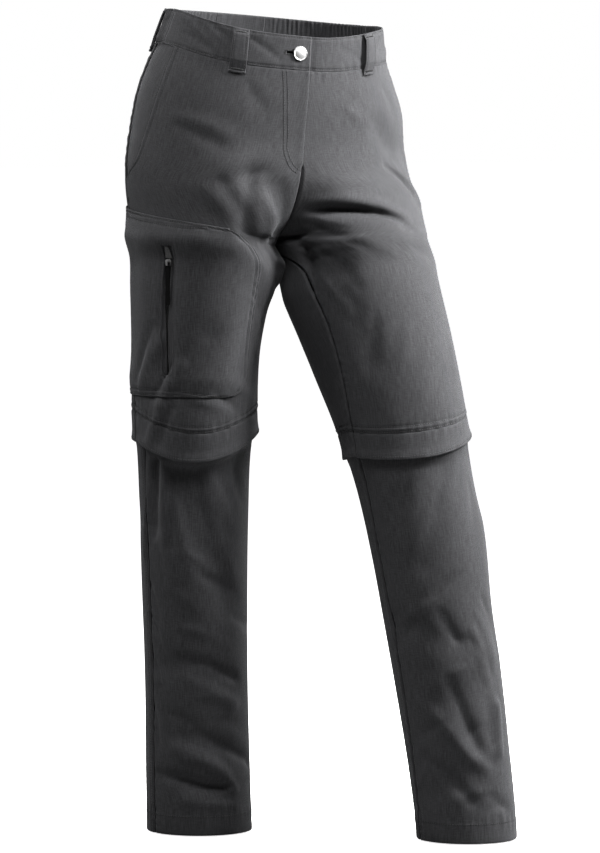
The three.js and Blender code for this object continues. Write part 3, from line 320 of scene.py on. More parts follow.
# The creases that show most, each along several places: turn, down, half width, height
LONG_CREASES = {
    "right thigh": [
        [(97.7, 203.6, 8, 2.5), (85, 224, 8, 4), (71, 242, 8, 4), (52, 262, 9, 3), (42, 300, 10, 2)],
        [(84, 204, 6, -3), (72, 218, 6, -6), (56, 240, 6, -7), (36, 262, 7, -6)],
        [(104, 198, 7, -2), (92, 240, 9, -3), (82, 270, 10, -2)],
        [(151, 396, 7, 2.5), (161, 424, 7, 3), (171, 456, 7, 2)],
        [(160, 384, 6, -2), (169, 416, 6, -3), (178, 446, 6, -2)],
        [(131, 428, 7, 2), (140, 452, 7, 3), (149, 474, 7, 2)],
        [(140, 430, 5, -1.5), (149, 452, 5, -2.5), (158, 470, 5, -1.5)],
        [(148, 478, 7, 2.5), (155, 500, 7, 3), (163, 520, 7, 2.5)],
        [(138, 480, 6, -2), (146, 505, 6, -2.5), (150, 525, 6, -1.5)],
    ],
    "left thigh": [
        [
            (48, 242, 5, -7), (60, 239, 6.5, -11), (75.5, 239, 7, -13), (90, 241, 7, -13),
            (102, 246, 7, -10.5), (109, 252, 7, -6), (117, 267, 7, -1.5),
        ],
        [(60, 223, 10, 3.5), (85, 223, 11, 5), (104, 229, 11, 5), (118, 246, 9, 3)],
        [(62, 254, 8, 2), (85, 256, 9, 3), (102, 263, 9, 2.5)],
        [(42, 252, 9, -9), (32, 276, 10, -11), (27, 305, 8, -7), (26, 330, 7, -3)],
        [(36, 272, 4, -2.2), (57, 264, 4, -1)],
        [(30, 288, 4, -2.2), (56, 282, 4, -1)],
        [(28, 301, 4, -1.8), (62, 293, 4, -0.8)],
        [(33, 280, 4, 1.4), (56, 273, 4, 0.6)],
        [(29, 295, 4, 1.4), (60, 287, 4, 0.6)],
        [(136, 180, 8, 2), (146, 200, 9, 3), (150, 226, 8, 2)],
        [(128, 176, 6, -2), (138, 196, 7, -3), (142, 214, 6, -2)],
    ],
    "right shin": [
        [(157.4, 547, 5, -3.5), (159, 588, 5, -3.5), (163, 640, 5, -2)],
        [(168, 548, 6, 2.5), (170.6, 583, 6, 2.5), (178, 633, 6, 3), (182, 666, 6, 2)],
        [(148.4, 547, 6, 3), (149.4, 619, 6, 3), (147.4, 656, 6, 2.5), (138.6, 693, 7, 2)],
        [(140, 552, 5, -2.5), (140, 600, 6, -3), (138, 650, 6, -2)],
        [(132, 562, 10, -1.5), (124.5, 618, 12, -2.5), (103.5, 686, 12, -2)],
        [(104, 590, 12, 2), (88, 640, 12, 2.5), (70, 690, 11, 1.5)],
        [(132, 792, 7, -2), (101, 798, 7, -3.5), (64, 817, 7, -4)],
        [(128, 812, 9, 1.5), (96, 830, 10, 3), (70, 850, 9, 2)],
        [(158.5, 830, 7, -2), (148.8, 851, 7, -3), (140, 885, 8, -3)],
        [(112, 884, 7, -1.5), (94, 896, 7, -3.5), (40, 924, 7, -3.5)],
        [(163, 936, 8, -2.5), (129, 943, 7, -6), (104, 950, 6, -8), (83, 950.5, 5, -7), (77, 951, 4, -3)],
        [(140, 905, 10, 2.5), (110, 912, 12, 4.5), (86, 935, 9, 4.5), (72, 956, 8, 4)],
        [(130, 967, 8, 1.5), (90, 974, 8, 1.5)],
        [(172, 700, 4, -1.2), (163, 722, 4, -1.6), (158, 744, 4, -1)],
        [(172, 738, 4, -1.2), (162, 758, 4, -1.8), (156, 784, 4, -1)],
        [(172, 786, 4, -1.4), (164, 806, 4, -1.8), (160, 826, 4, -1)],
        [(172, 850, 4, -1.2), (166, 872, 4, -1.6), (162, 900, 4, -1)],
    ],
    "left shin": [
        [(68, 735, 9, -2.5), (80.5, 766, 7, -3)],
        [(64, 812, 9, -2.5), (76, 864, 9, -4.5), (87, 898, 9, -4.5), (94, 910, 9, -1.5)],
        [(33, 839, 9, 2), (56, 872, 9, 3.5), (75, 906, 9, 3.5), (92, 922, 8, 2)],
        [(26, 906, 9, -2), (50, 929.5, 9, -4), (72, 959, 8, -3)],
        [(120.8, 852, 7, 3), (116.5, 907, 7, 2.5)],
        [(106, 846, 9, -1.6), (105, 880, 10, -2.2), (102, 915, 9, -1.2)],
        [(35, 739, 9, -2), (14, 756, 9, -1)],
        [(100, 760, 9, 2), (112, 820, 8, 2)],
        [(96, 956, 7, -1.5), (118, 972, 7, -2)],
    ],
}
# Folds of the solids that a long crease takes the place of
RETOLD_FOLDS = {"left thigh": 2}


def clamp(value, low=0.0, high=1.0):
    return np.clip(value, low, high)


def mix(start, end, share):
    """From start at a share of 0 to end at a share of 1."""
    return start + (end - start) * share


def smooth(share):
    """0 to 1 with a soft start and a soft end."""
    s = clamp(share)
    return s * s * (3 - 2 * s)


def hump(value, at, wide):
    """A bell 1 high."""
    return np.exp(-(((value - at) / wide) ** 2))


def unit(vectors):
    return vectors / np.maximum(np.linalg.norm(vectors, axis=-1, keepdims=True), 1e-12)


def along(rows, column, down):
    """A smooth curve through one column of a table, straight on past its ends."""
    x, y = rows["down"], rows[column]
    count = len(x)
    low = np.r_[0, np.arange(count - 1)]
    high = np.r_[np.arange(1, count), count - 1]
    slopes = (y[high] - y[low]) / (x[high] - x[low])
    down = np.asarray(down, float)
    i = np.clip(np.searchsorted(x, down, side="right") - 1, 0, count - 2)
    span = x[i + 1] - x[i]
    t = (down - x[i]) / span
    curve = (
        (2 * t**3 - 3 * t**2 + 1) * y[i]
        + (t**3 - 2 * t**2 + t) * span * slopes[i]
        + (3 * t**2 - 2 * t**3) * y[i + 1]
        + (t**3 - t**2) * span * slopes[i + 1]
    )
    before = y[0] + slopes[0] * (down - x[0])
    after = y[-1] + slopes[-1] * (down - x[-1])
    return np.where(down <= x[0], before, np.where(down >= x[-1], after, curve))


SIGN = {"right": -1.0, "left": 1.0}
RING_COLUMNS = ("x", "y", "z", "side", "front", "back", "lap", "roll", "pitch", "dip", "rise", "sag")


def hip_rows(side):
    """The table of one side's hip rings, turned by the tilt of the hips."""
    rows, tilt = HIP_RINGS[side], np.radians(HIP_TILT)
    out = SIGN[side] * rows["mid"]
    made = {name: rows[name] for name in ("down", "front", "back", "roll", "pitch", "dip", "rise", "sag")}
    made["x"] = out * np.cos(tilt) - rows["down"] * np.sin(tilt)
    made["y"] = rows["set"]
    made["z"] = TOP - out * np.sin(tilt) - rows["down"] * np.cos(tilt)
    made["side"] = rows["reach"] - rows["mid"]
    made["lap"] = rows["reach"] - 2 * rows["mid"]
    return made


def leg_rows(side, rows):
    """The table of a thigh's or a shin's rings; the tilt of the hips fades out below the crotch."""
    kept = 1 - smooth((rows["down"] - CROTCH) / 200)
    made = dict(rows, z=TOP - rows["down"] - SIGN[side] * 7 * kept)
    for name in ("lap", "dip", "rise", "sag"):
        made[name] = np.zeros(len(rows["down"]))
    return made


def tube(side, name, rings, folds, hipped):
    """One thigh with its hip, or one shin: its rings, folds and creases."""
    return {
        "side": side,
        "sign": SIGN[side],
        "rings": rings,
        "folds": [(*fold, 0) for fold in folds[RETOLD_FOLDS.get(f"{side} {name}", 0) :]]
        + [(*crease, 1) for crease in CREASES[f"{side} {name}"]],
        "long": LONG_CREASES[f"{side} {name}"],
        "hipped": hipped,
    }


THIGH, SHIN = {}, {}
for side in ("right", "left"):
    hips, thighs = hip_rows(side), leg_rows(side, THIGH_RINGS[side])
    rings = {name: np.r_[hips[name], thighs[name]] for name in ("down", *RING_COLUMNS)}
    THIGH[side] = tube(side, "thigh", rings, THIGH_FOLDS[side], True)
    SHIN[side] = tube(side, "shin", leg_rows(side, SHIN_RINGS[side]), SHIN_FOLDS[side], False)


def ring_at(leg, down):
    """A ring's sizes at a drop."""
    return {name: along(leg["rings"], name, down) for name in RING_COLUMNS}


def start_turn(leg, down):
    """Where a ring starts: on the centre seam above the crotch, on the inseam below it."""
    inseam = along(INSEAM[leg["side"]], "turn", down)
    if not leg["hipped"]:
        return inseam
    lap, reach = along(leg["rings"], "lap", down), along(leg["rings"], "side", down)
    centre = np.degrees(np.arccos(clamp(1 - lap / reach)))
    return np.where(np.asarray(down) >= CROTCH, inseam, centre)


def end_turn(leg, down):
    """Where a ring ends, once round from its start or at the centre back."""
    start = start_turn(leg, down)
    if not leg["hipped"]:
        return 360 + start
    return np.where(np.asarray(down) >= CROTCH, 360 + start, 360 - start)


def side_turn(down):
    return along(SIDE_SEAM, "turn", down)


def ring_point(leg, turn, down):
    """A ring's own point, the direction away from its middle there, and its mean radius."""
    ring = ring_at(leg, down)
    c, s = np.cos(np.radians(turn)), np.sin(np.radians(turn))
    front = s >= 0
    depth = np.where(front, ring["front"], ring["back"])
    out, back = -ring["side"] * c * leg["sign"], -depth * s
    roll, pitch = np.radians(ring["roll"]), np.radians(ring["pitch"])
    between = np.sin(np.radians(2 * np.asarray(turn))) ** 2
    lift = np.where(front, -ring["dip"] * np.abs(s) ** 1.5 - ring["sag"] * between, ring["rise"] * s * s)
    point = np.stack(
        [
            ring["x"] + out * np.cos(roll),
            ring["y"] + back * np.cos(pitch),
            ring["z"] - out * np.sin(roll) + back * np.sin(pitch) + lift,
        ],
        axis=-1,
    )
    away = unit(np.stack([-c * leg["sign"] * depth, -s * ring["side"], np.zeros_like(depth)], axis=-1))
    return point, away, (ring["side"] + depth) / 2


def fold_height(leg, turn, down, girth):
    """The folds of the solid and the creases of the cloth, which thin out to both their ends."""
    height, scale = 0.0, np.radians(girth)
    for turn_a, down_a, turn_b, down_b, wide, high, fine in leg["folds"]:
        run_across, run_down = (turn_b - turn_a) * scale, down_b - down_a
        across, below = (turn - turn_a) * scale, down - down_a
        share = clamp((across * run_across + below * run_down) / (run_across**2 + run_down**2))
        bow = 0.0
        if fine:
            bow = 4 * share * (1 - share) * 0.06 * (run_across + run_down)
        off2 = (across - share * run_across - bow) ** 2 + (below - share * run_down - bow) ** 2
        reach = wide * (0.65 + 0.7 * share * (1.6 - share)) if fine else wide
        strength = 0.35 + 0.65 * np.sin(np.pi * clamp(share * 0.9 + 0.1)) if fine else 1.0
        height = height + high * strength * np.exp(-off2 / reach**2)
    for crease in leg.get("long", ()):
        # Only the nearest length of a long crease counts, so its bends don't add up
        nearest = np.full(np.broadcast(turn, down).shape, 1e9)
        own_wide, own_high = np.ones_like(nearest), np.zeros_like(nearest)
        for (turn_a, down_a, wide_a, high_a), (turn_b, down_b, wide_b, high_b) in zip(crease, crease[1:]):
            run_across, run_down = (turn_b - turn_a) * scale, down_b - down_a
            across, below = (turn - turn_a) * scale, down - down_a
            share = clamp((across * run_across + below * run_down) / (run_across**2 + run_down**2))
            off2 = (across - share * run_across) ** 2 + (below - share * run_down) ** 2
            closer = off2 < nearest
            nearest = np.where(closer, off2, nearest)
            own_wide = np.where(closer, mix(wide_a, wide_b, share), own_wide)
            own_high = np.where(closer, mix(high_a, high_b, share), own_high)
        height = height + own_high * np.exp(-nearest / own_wide**2)
    return height


def centre_share(leg, turn, down, reach):
    """How near a place is to the centre seam, the drop there, and whether the front seam is nearer."""
    at = np.minimum(down, CROTCH)
    from_front = turn - start_turn(leg, at)
    from_back = end_turn(leg, at) - turn
    near = smooth(1 - np.minimum(from_front, from_back) / reach)
    return near * (1 - smooth((down - at) / 95)), at, from_front <= from_back


def skin_point(leg, turn, down):
    """A place on the cloth: a ring's point with its folds, drawn to the other leg's near the centre seam."""
    turn, down = np.broadcast_arrays(np.asarray(turn, float), np.asarray(down, float))
    point, away, girth = ring_point(leg, turn, down)
    calm = 1.0
    if leg["hipped"]:
        share, at, near_front = centre_share(leg, turn, down, 70)
        edges = {}
        for side in ("right", "left"):
            own = THIGH[side]
            edge_turn = np.where(near_front, start_turn(own, at), end_turn(own, at))
            edges[side] = ring_point(own, edge_turn, at)[0]
        other = "left" if leg["side"] == "right" else "right"
        point = point + (edges[other] - edges[leg["side"]]) * (0.5 * share)[..., None]
        calm = 1 - centre_share(leg, turn, down, 24)[0]
    return point + away * (fold_height(leg, turn, down, girth) * calm)[..., None]


def stations(leg, turn, down, centre=None):
    """Places on the cloth and the directions out of it. On the centre seam they stay in the middle plane."""
    turn, down = np.broadcast_arrays(np.asarray(turn, float), np.asarray(down, float))
    step = 1.0
    across = skin_point(leg, turn + step, down) - skin_point(leg, turn - step, down)
    below = skin_point(leg, turn, down + step) - skin_point(leg, turn, down - step)
    normal = unit(np.cross(across, below) * -leg["sign"])
    if centre is not None:
        flat = centre & ((normal[..., 0] * leg["sign"] > 0) | (down < CROTCH * 0.6))
        normal[..., 0] = np.where(flat, 0, normal[..., 0])
        normal = unit(normal)
    return {"p": skin_point(leg, turn, down), "n": normal, "turn": turn, "down": down, "sign": leg["sign"]}


GRID_PARTS = ("p", "n", "turn", "down")


def join(first, second):
    """Two grids side by side, which share their middle column."""
    made = {name: np.concatenate([first[name], second[name][:, 1:]], axis=1) for name in GRID_PARTS}
    return dict(made, sign=first["sign"])


def mirrored(grid, sign):
    """A grid with its columns in the opposite order."""
    return dict({name: grid[name][:, ::-1] for name in GRID_PARTS}, sign=sign)


def run_of(grid, axis):
    """Millimetres along the rows (1) or down the columns (0) of a grid."""
    steps = np.linalg.norm(np.diff(grid["p"], axis=axis), axis=-1)
    pad = [(0, 0), (0, 0)]
    pad[axis] = (1, 0)
    return np.pad(np.cumsum(steps, axis=axis), pad)


def finish_piece(name, points, faces, finish, replaces=(), uvs=None):
    """A mesh object from points in millimetres, with its finish and CAD nodes, on the trousers' body."""
    mesh = bpy.data.meshes.new(name)
    metres = np.asarray(points, float) / 1000
    mesh.from_pydata(metres.tolist(), [], [list(map(int, face)) for face in faces])
    mesh.update()
    mesh.polygons.foreach_set("use_smooth", np.ones(len(mesh.polygons), bool))
    if uvs is not None:
        layer = mesh.uv_layers.new(name="cloth")
        corners = np.zeros(len(mesh.loops), np.int32)
        mesh.loops.foreach_get("vertex_index", corners)
        layer.data.foreach_set("uv", (np.asarray(uvs, float) / 1000)[corners].ravel())
    piece = bpy.data.objects.new(name, mesh)
    bpy.context.scene.collection.objects.link(piece)
    material, slot = finish
    mesh.materials.append(material)
    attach(piece, "trousers")
    if replaces:
        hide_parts(*replaces)
    return piece


def cloth(name, grid, finish, outer, inner=None, replaces=(), hole=None):
    """A closed thin wall over a grid, between two heights above it. Cells where hole is true are left out."""
    rows, columns = grid["turn"].shape
    outer = np.broadcast_to(outer, (rows, columns))
    inner = outer - CLOTH if inner is None else np.broadcast_to(inner, (rows, columns))
    points = np.concatenate(
        [(grid["p"] + grid["n"] * level[..., None]).reshape(-1, 3) for level in (outer, inner)]
    )
    number = np.arange(rows * columns).reshape(rows, columns)
    kept = np.ones((rows - 1, columns - 1), bool) if hole is None else ~hole
    a, b = number[:-1, :-1][kept], number[1:, :-1][kept]
    c, d = number[1:, 1:][kept], number[:-1, 1:][kept]
    under = rows * columns
    faces = [np.stack([a, b, c, d], 1), np.stack([a + under, d + under, c + under, b + under], 1)]
    # The rim runs along every kept cell's side that no other kept cell shares
    padded = np.pad(kept, 1)
    for shift, (first, second) in (
        ((-1, 0), (number[:-1, :-1], number[:-1, 1:])),
        ((1, 0), (number[1:, 1:], number[1:, :-1])),
        ((0, -1), (number[1:, :-1], number[:-1, :-1])),
        ((0, 1), (number[:-1, 1:], number[1:, 1:])),
    ):
        neighbour = padded[1 + shift[0] : rows + shift[0], 1 + shift[1] : columns + shift[1]]
        open_side = kept & ~neighbour
        p, q = first[open_side], second[open_side]
        faces.append(np.stack([p, q, q + under, p + under], 1))
    faces = np.concatenate(faces)
    if grid["sign"] < 0:
        faces = faces[:, ::-1]
    u, v = run_of(grid, 1), run_of(grid, 0)
    u = u - u[:, columns // 2][:, None]
    uv = np.stack([u, -v], -1).reshape(-1, 2)
    uvs = np.concatenate([uv, uv])
    if hole is not None:
        used = np.unique(faces)
        renumber = np.zeros(len(points), int)
        renumber[used] = np.arange(len(used))
        points, uvs, faces = points[used], uvs[used], renumber[faces]
    return finish_piece(name, points, faces, finish, replaces, uvs)


def flat_size(grid):
    """The cut's width, length and area in metres, measured along the cloth."""
    u, v = run_of(grid, 1), run_of(grid, 0)
    p = grid["p"]
    one = np.cross(p[1:, 1:] - p[:-1, :-1], p[1:, :-1] - p[:-1, 1:])
    area = np.linalg.norm(one, axis=-1).sum() / 2
    width, length = u[:, -1].max(), v[-1].max()
    return (width / 1000, length / 1000), area / 1e6


def declare(grid):
    """Works out the width, length and area of a piece's cut, and does nothing more with them."""
    flat, area = flat_size(grid)


# Distances in millimetres of the close columns or rows along the edges of a panel
FINE = np.array([0, 0.8, 1.7, 2.8, 4.2, 5.8, 7.4, 9.0, 11.0])


def between(start, end, scale, count):
    """Turns from start to end in count columns, the first and last ones at set distances in millimetres."""
    start, end, scale = (np.asarray(value, float)[:, None] for value in (start, end, scale))
    first, last = start + FINE / scale, end - FINE[::-1] / scale
    middle = count - 2 * len(FINE)
    share = np.arange(1, middle + 1) / (middle + 1)
    return np.concatenate([first, mix(first[:, -1:], last[:, :1], share), last], axis=1)


def steps(start, end, step, before=FINE, after=FINE):
    """Drops from start to end, close together at both ends."""
    first, last = start + before, end - after[::-1]
    count = max(2, int(round((last[0] - first[-1]) / step)))
    return np.concatenate([first, np.linspace(first[-1], last[0], count + 1)[1:-1], last])


def millimetres_a_degree(leg, turn, down):
    """The way round a leg that one degree of turn makes."""
    step = 2.0
    run = skin_point(leg, np.asarray(turn) + step, down) - skin_point(leg, np.asarray(turn) - step, down)
    return np.linalg.norm(run, axis=-1) / (2 * step)


def pucker(run, off, high=0.3, reach=8.0):
    """Small uneven gathers that a row of stitches pulls in, by the run along it and the distance from it."""
    wave = np.sin(run / 1.75 + 1.6 * np.sin(run / 13)) * (0.6 + 0.4 * np.sin(run / 19 + 1.7))
    wave = wave + 0.5 * np.sin(run / 4.1 + 2.0)
    return 1.5 * high * wave * np.exp(-((off / reach) ** 2)) * smooth(0.3 + off / 1.5)


# ---------------------------------------------------------------------------------------------- finishes
def socket(tree, kind, inputs=(), **settings):
    """Adds a node; inputs are (name or number, value or socket) pairs."""
    made = tree.nodes.new(kind)
    for name, value in settings.items():
        setattr(made, name, value)
    for name, value in inputs:
        if isinstance(value, bpy.types.NodeSocket):
            tree.links.new(value, made.inputs[name])
        else:
            made.inputs[name].default_value = value
    return made


def noise(tree, vector, scale, detail=2.0, rough=0.5):
    inputs = [("Vector", vector), ("Scale", scale), ("Detail", detail), ("Roughness", rough)]
    return socket(tree, "ShaderNodeTexNoise", inputs).outputs["Fac"]


def stretched(tree, vector, scale):
    return socket(tree, "ShaderNodeMapping", [("Vector", vector), ("Scale", scale)]).outputs[0]


def maths(tree, operation, *values):
    return socket(tree, "ShaderNodeMath", list(enumerate(values)), operation=operation).outputs[0]


def weigh(tree, first, first_share, second, second_share):
    """The sum of two values, each times its share."""
    parts = [maths(tree, "MULTIPLY", first, first_share), maths(tree, "MULTIPLY", second, second_share)]
    return maths(tree, "ADD", *parts)


def blend(tree, share, first, second):
    """A colour between two; the node has inputs of the same name for other kinds of value."""
    made = socket(tree, "ShaderNodeMix", data_type="RGBA")
    for name, kind, value in (("Factor", "VALUE", share), ("A", "RGBA", first), ("B", "RGBA", second)):
        at = [s for s in made.inputs if s.name == name and s.type == kind][0]
        if isinstance(value, bpy.types.NodeSocket):
            tree.links.new(value, at)
        else:
            at.default_value = value
    return [s for s in made.outputs if s.type == "RGBA"][0]


def levels(tree, value, low, high):
    """0 at low and 1 at high."""
    inputs = [("Value", value), ("From Min", low), ("From Max", high)]
    return socket(tree, "ShaderNodeMapRange", inputs, clamp=True).outputs["Result"]


def effect(name, outputs, inputs=()):
    """An empty shader node group with its sockets."""
    tree = bpy.data.node_groups.new(name, "ShaderNodeTree")
    for label, kind, value in inputs:
        made = tree.interface.new_socket(label, in_out="INPUT", socket_type=kind)
        made.default_value = value
    for label, kind in outputs:
        tree.interface.new_socket(label, in_out="OUTPUT", socket_type=kind)
    return tree, tree.nodes.new("NodeGroupInput").outputs, tree.nodes.new("NodeGroupOutput").inputs


def weave_effect():
    """Fine twill with thicker yarns here and there, along the length of the cut."""
    tree, given, out = effect(
        "woven_yarns",
        [("Color", "NodeSocketColor"), ("Roughness", "NodeSocketFloat"), ("Height", "NodeSocketFloat")],
        [
            ("Dark", "NodeSocketColor", (0.03, 0.03, 0.03, 1)),
            ("Light", "NodeSocketColor", (0.06, 0.06, 0.06, 1)),
        ],
    )
    uv = socket(tree, "ShaderNodeUVMap", uv_map="cloth").outputs[0]
    slub = noise(tree, stretched(tree, uv, (900, 55, 1)), 1.0, 4.0, 0.65)
    weft = noise(tree, stretched(tree, uv, (120, 1000, 1)), 1.0, 3.0, 0.6)
    broad = noise(tree, stretched(tree, uv, (14, 9, 1)), 1.0, 2.0, 0.5)
    place = socket(tree, "ShaderNodeSeparateXYZ", [(0, uv)]).outputs
    twill = maths(tree, "SINE", weigh(tree, place[0], 7600, place[1], 5200))
    yarns = weigh(tree, slub, 0.62, weft, 0.38)
    tone = weigh(tree, levels(tree, yarns, 0.4, 0.6), 0.84, levels(tree, broad, 0.3, 0.7), 0.16)
    tree.links.new(blend(tree, tone, given["Dark"], given["Light"]), out["Color"])
    tree.links.new(maths(tree, "ADD", maths(tree, "MULTIPLY", broad, 0.12), 0.74), out["Roughness"])
    tree.links.new(weigh(tree, yarns, 1.0, twill, 0.16), out["Height"])
    return tree


def wear_effect():
    """Small scuffs and a broad change of gloss, on the object's own coordinates."""
    tree, given, out = effect(
        "handled_surface",
        [("Color", "NodeSocketColor"), ("Roughness", "NodeSocketFloat"), ("Height", "NodeSocketFloat")],
        [
            ("Base", "NodeSocketColor", (0.5, 0.5, 0.5, 1)),
            ("Worn", "NodeSocketColor", (0.6, 0.6, 0.6, 1)),
            ("Gloss", "NodeSocketFloat", 0.3),
        ],
    )
    place = socket(tree, "ShaderNodeTexCoord").outputs["Object"]
    fine = noise(tree, place, 900.0, 4.0, 0.65)
    broad = noise(tree, place, 110.0, 2.0, 0.5)
    scuff = levels(tree, maths(tree, "MULTIPLY", fine, broad), 0.26, 0.42)
    tree.links.new(blend(tree, scuff, given["Base"], given["Worn"]), out["Color"])
    tree.links.new(maths(tree, "ADD", given["Gloss"], maths(tree, "MULTIPLY", fine, 0.16)), out["Roughness"])
    tree.links.new(maths(tree, "ADD", fine, scuff), out["Height"])
    return tree


WEAVE, WEAR = weave_effect(), wear_effect()


def material(name, group, values, bump, distance, constants):
    """An effect with its values, the strength and depth of its relief, and the shader's own values."""
    made = bpy.data.materials.new(name)
    made.use_nodes = True
    tree = made.node_tree
    tree.nodes.clear()
    shader = socket(tree, "ShaderNodeBsdfPrincipled", constants)
    effect_node = socket(tree, "ShaderNodeGroup", node_tree=group)
    for label, value in values:
        effect_node.inputs[label].default_value = value
    bumped = socket(
        tree,
        "ShaderNodeBump",
        [("Height", effect_node.outputs["Height"]), ("Strength", bump), ("Distance", distance)],
    )
    tree.links.new(effect_node.outputs["Color"], shader.inputs["Base Color"])
    tree.links.new(effect_node.outputs["Roughness"], shader.inputs["Roughness"])
    tree.links.new(bumped.outputs[0], shader.inputs["Normal"])
    out = tree.nodes.new("ShaderNodeOutputMaterial")
    tree.links.new(shader.outputs[0], out.inputs["Surface"])
    return made


def grey(value, blue=1.0):
    return (value, value, value * blue, 1)


SHEEN = [
    ("Sheen Weight", 0.16),
    ("Sheen Roughness", 0.42),
    ("Sheen Tint", (0.86, 0.87, 0.9, 1)),
    ("Specular IOR Level", 0.32),
]
charcoal = material(
    "charcoal woven cloth", WEAVE, [("Dark", grey(0.023, 1.06)), ("Light", grey(0.051, 1.06))],
    0.6, 0.0004, SHEEN,
)
lining = material(
    "brushed inner cloth", WEAVE, [("Dark", grey(0.055, 1.05)), ("Light", grey(0.11, 1.05))],
    0.4, 0.0004, SHEEN,
)
thread_grey = material(
    "charcoal thread", WEAR, [("Base", grey(0.008, 1.06)), ("Worn", grey(0.02, 1.05)), ("Gloss", 0.55)],
    0.2, 0.0001, [("Sheen Weight", 0.2), ("Specular IOR Level", 0.4)],
)
tape_black = material(
    "black zip tape", WEAVE, [("Dark", grey(0.006)), ("Light", grey(0.016))], 0.5, 0.0003,
    [("Sheen Weight", 0.12), ("Specular IOR Level", 0.3)],
)
teeth_black = material(
    "black coil", WEAR, [("Base", grey(0.01)), ("Worn", grey(0.02)), ("Gloss", 0.3)], 0.15, 0.0001,
    [("Specular IOR Level", 0.5)],
)
steel = material(
    "satin silver", WEAR, [("Base", grey(0.56)), ("Worn", grey(0.46)), ("Gloss", 0.36)], 0.06, 0.0001,
    [("Metallic", 1.0)],
)
pull_black = material(
    "soft black pull", WEAR, [("Base", grey(0.003)), ("Worn", grey(0.007)), ("Gloss", 0.55)], 0.2, 0.0001,
    [("Specular IOR Level", 0.12)],
)
guard_grey = material(
    "pale woven guard", WEAVE, [("Dark", grey(0.03)), ("Light", grey(0.09))], 0.4, 0.0003,
    [("Sheen Weight", 0.1)],
)
# Finishes as pairs of a material and its slot
CHARCOAL = (charcoal, "charcoal_cloth")
LINING = (lining, "charcoal_cloth")
THREAD = (thread_grey, "charcoal_cloth")
GUARD = (guard_grey, "charcoal_cloth")
TAPE_FINISH = (tape_black, "black_tape")
TEETH = (teeth_black, "black_tape")

# ------------------------------------------------------------------------------------ stitches and teeth
SPINDLE_SIDES = 4
SPINDLE_POINTS = 2 + 2 * SPINDLE_SIDES


def even_places(points, normals, pitch):
    """Evenly spaced places on a path: position, direction along and direction out."""
    run = np.r_[0, np.cumsum(np.linalg.norm(np.diff(points, axis=0), axis=1))]
    count = max(2, int(run[-1] / pitch))
    at = (np.arange(count) + 0.5) * run[-1] / count
    spot = np.stack([np.interp(at, run, points[:, k]) for k in range(3)], 1)
    ahead = np.stack([np.interp(at + 0.4, run, points[:, k]) for k in range(3)], 1)
    behind = np.stack([np.interp(at - 0.4, run, points[:, k]) for k in range(3)], 1)
    out = unit(np.stack([np.interp(at, run, normals[:, k]) for k in range(3)], 1))
    tangent = unit(ahead - behind)
    out = unit(out - tangent * (out * tangent).sum(1, keepdims=True))
    return spot, tangent, out


def spindles(paths, pitch, length, thick, rise, across):
    """Small spindles along paths, or across them: the points and faces of all of them."""
    points, faces, count = [], [], 0
    sides, size = SPINDLE_SIDES, SPINDLE_POINTS
    angles = np.arange(sides) * 2 * np.pi / sides
    for path, normals in paths:
        spot, tangent, out = even_places(path, normals, pitch)
        level = np.cross(out, tangent)
        if across:
            tangent, level = level, tangent
        spot = spot + out * rise
        rings = [spot - tangent * length / 2]
        for share in (-0.3, 0.3):
            for angle in angles:
                side = level * np.cos(angle) + out * np.sin(angle)
                rings.append(spot + tangent * length * share + side * thick / 2)
        rings.append(spot + tangent * length / 2)
        block = np.stack(rings, 1)
        points.append(block.reshape(-1, 3))
        tips, quads = [], []
        for k in range(sides):
            after = (k + 1) % sides
            tips += [(0, 1 + after, 1 + k), (1 + 2 * sides, 1 + sides + k, 1 + sides + after)]
            quads.append((1 + k, 1 + after, 1 + sides + after, 1 + sides + k))
        base = count + np.arange(len(spot)) * size
        for face in tips + quads:
            faces.append([tuple(int(b + f) for f in face) for b in base])
        count += len(spot) * size
    flat = [face for group in faces for face in group]
    return np.concatenate(points), flat


def outward(points, faces, size):
    """Turns the faces of small closed shapes outward, by the volume of the first of them."""
    first = [face for face in faces if max(face) < size]
    volume = 0.0
    for face in first:
        a = points[face[0]]
        for k in range(1, len(face) - 1):
            volume += np.dot(a, np.cross(points[face[k]], points[face[k + 1]]))
    return faces if volume > 0 else [face[::-1] for face in faces]


def stitch_row(name, paths, pitch=3.3, length=2.3, thick=0.85, rise=0.12, across=False, finish=THREAD):
    """One piece of all the stitches, or the coil's turns, along paths; sizes in millimetres."""
    points, faces = spindles(paths, pitch, length, thick, rise, across)
    finish_piece(name, points, outward(points, faces, SPINDLE_POINTS), finish)


def path_on(leg, turn, down, height):
    """A path at a height above the cloth of a leg."""
    spots = stations(leg, turn, down)
    return spots["p"] + spots["n"] * np.broadcast_to(height, np.shape(turn))[..., None], spots["n"]


def grid_path(grid, heights, row=None, column=None):
    """The path along one row or column of a grid, on its outer face."""
    pick = (row, slice(None)) if row is not None else (slice(None), column)
    heights = np.broadcast_to(heights, grid["turn"].shape)
    return grid["p"][pick] + grid["n"][pick] * heights[pick][..., None], grid["n"][pick]


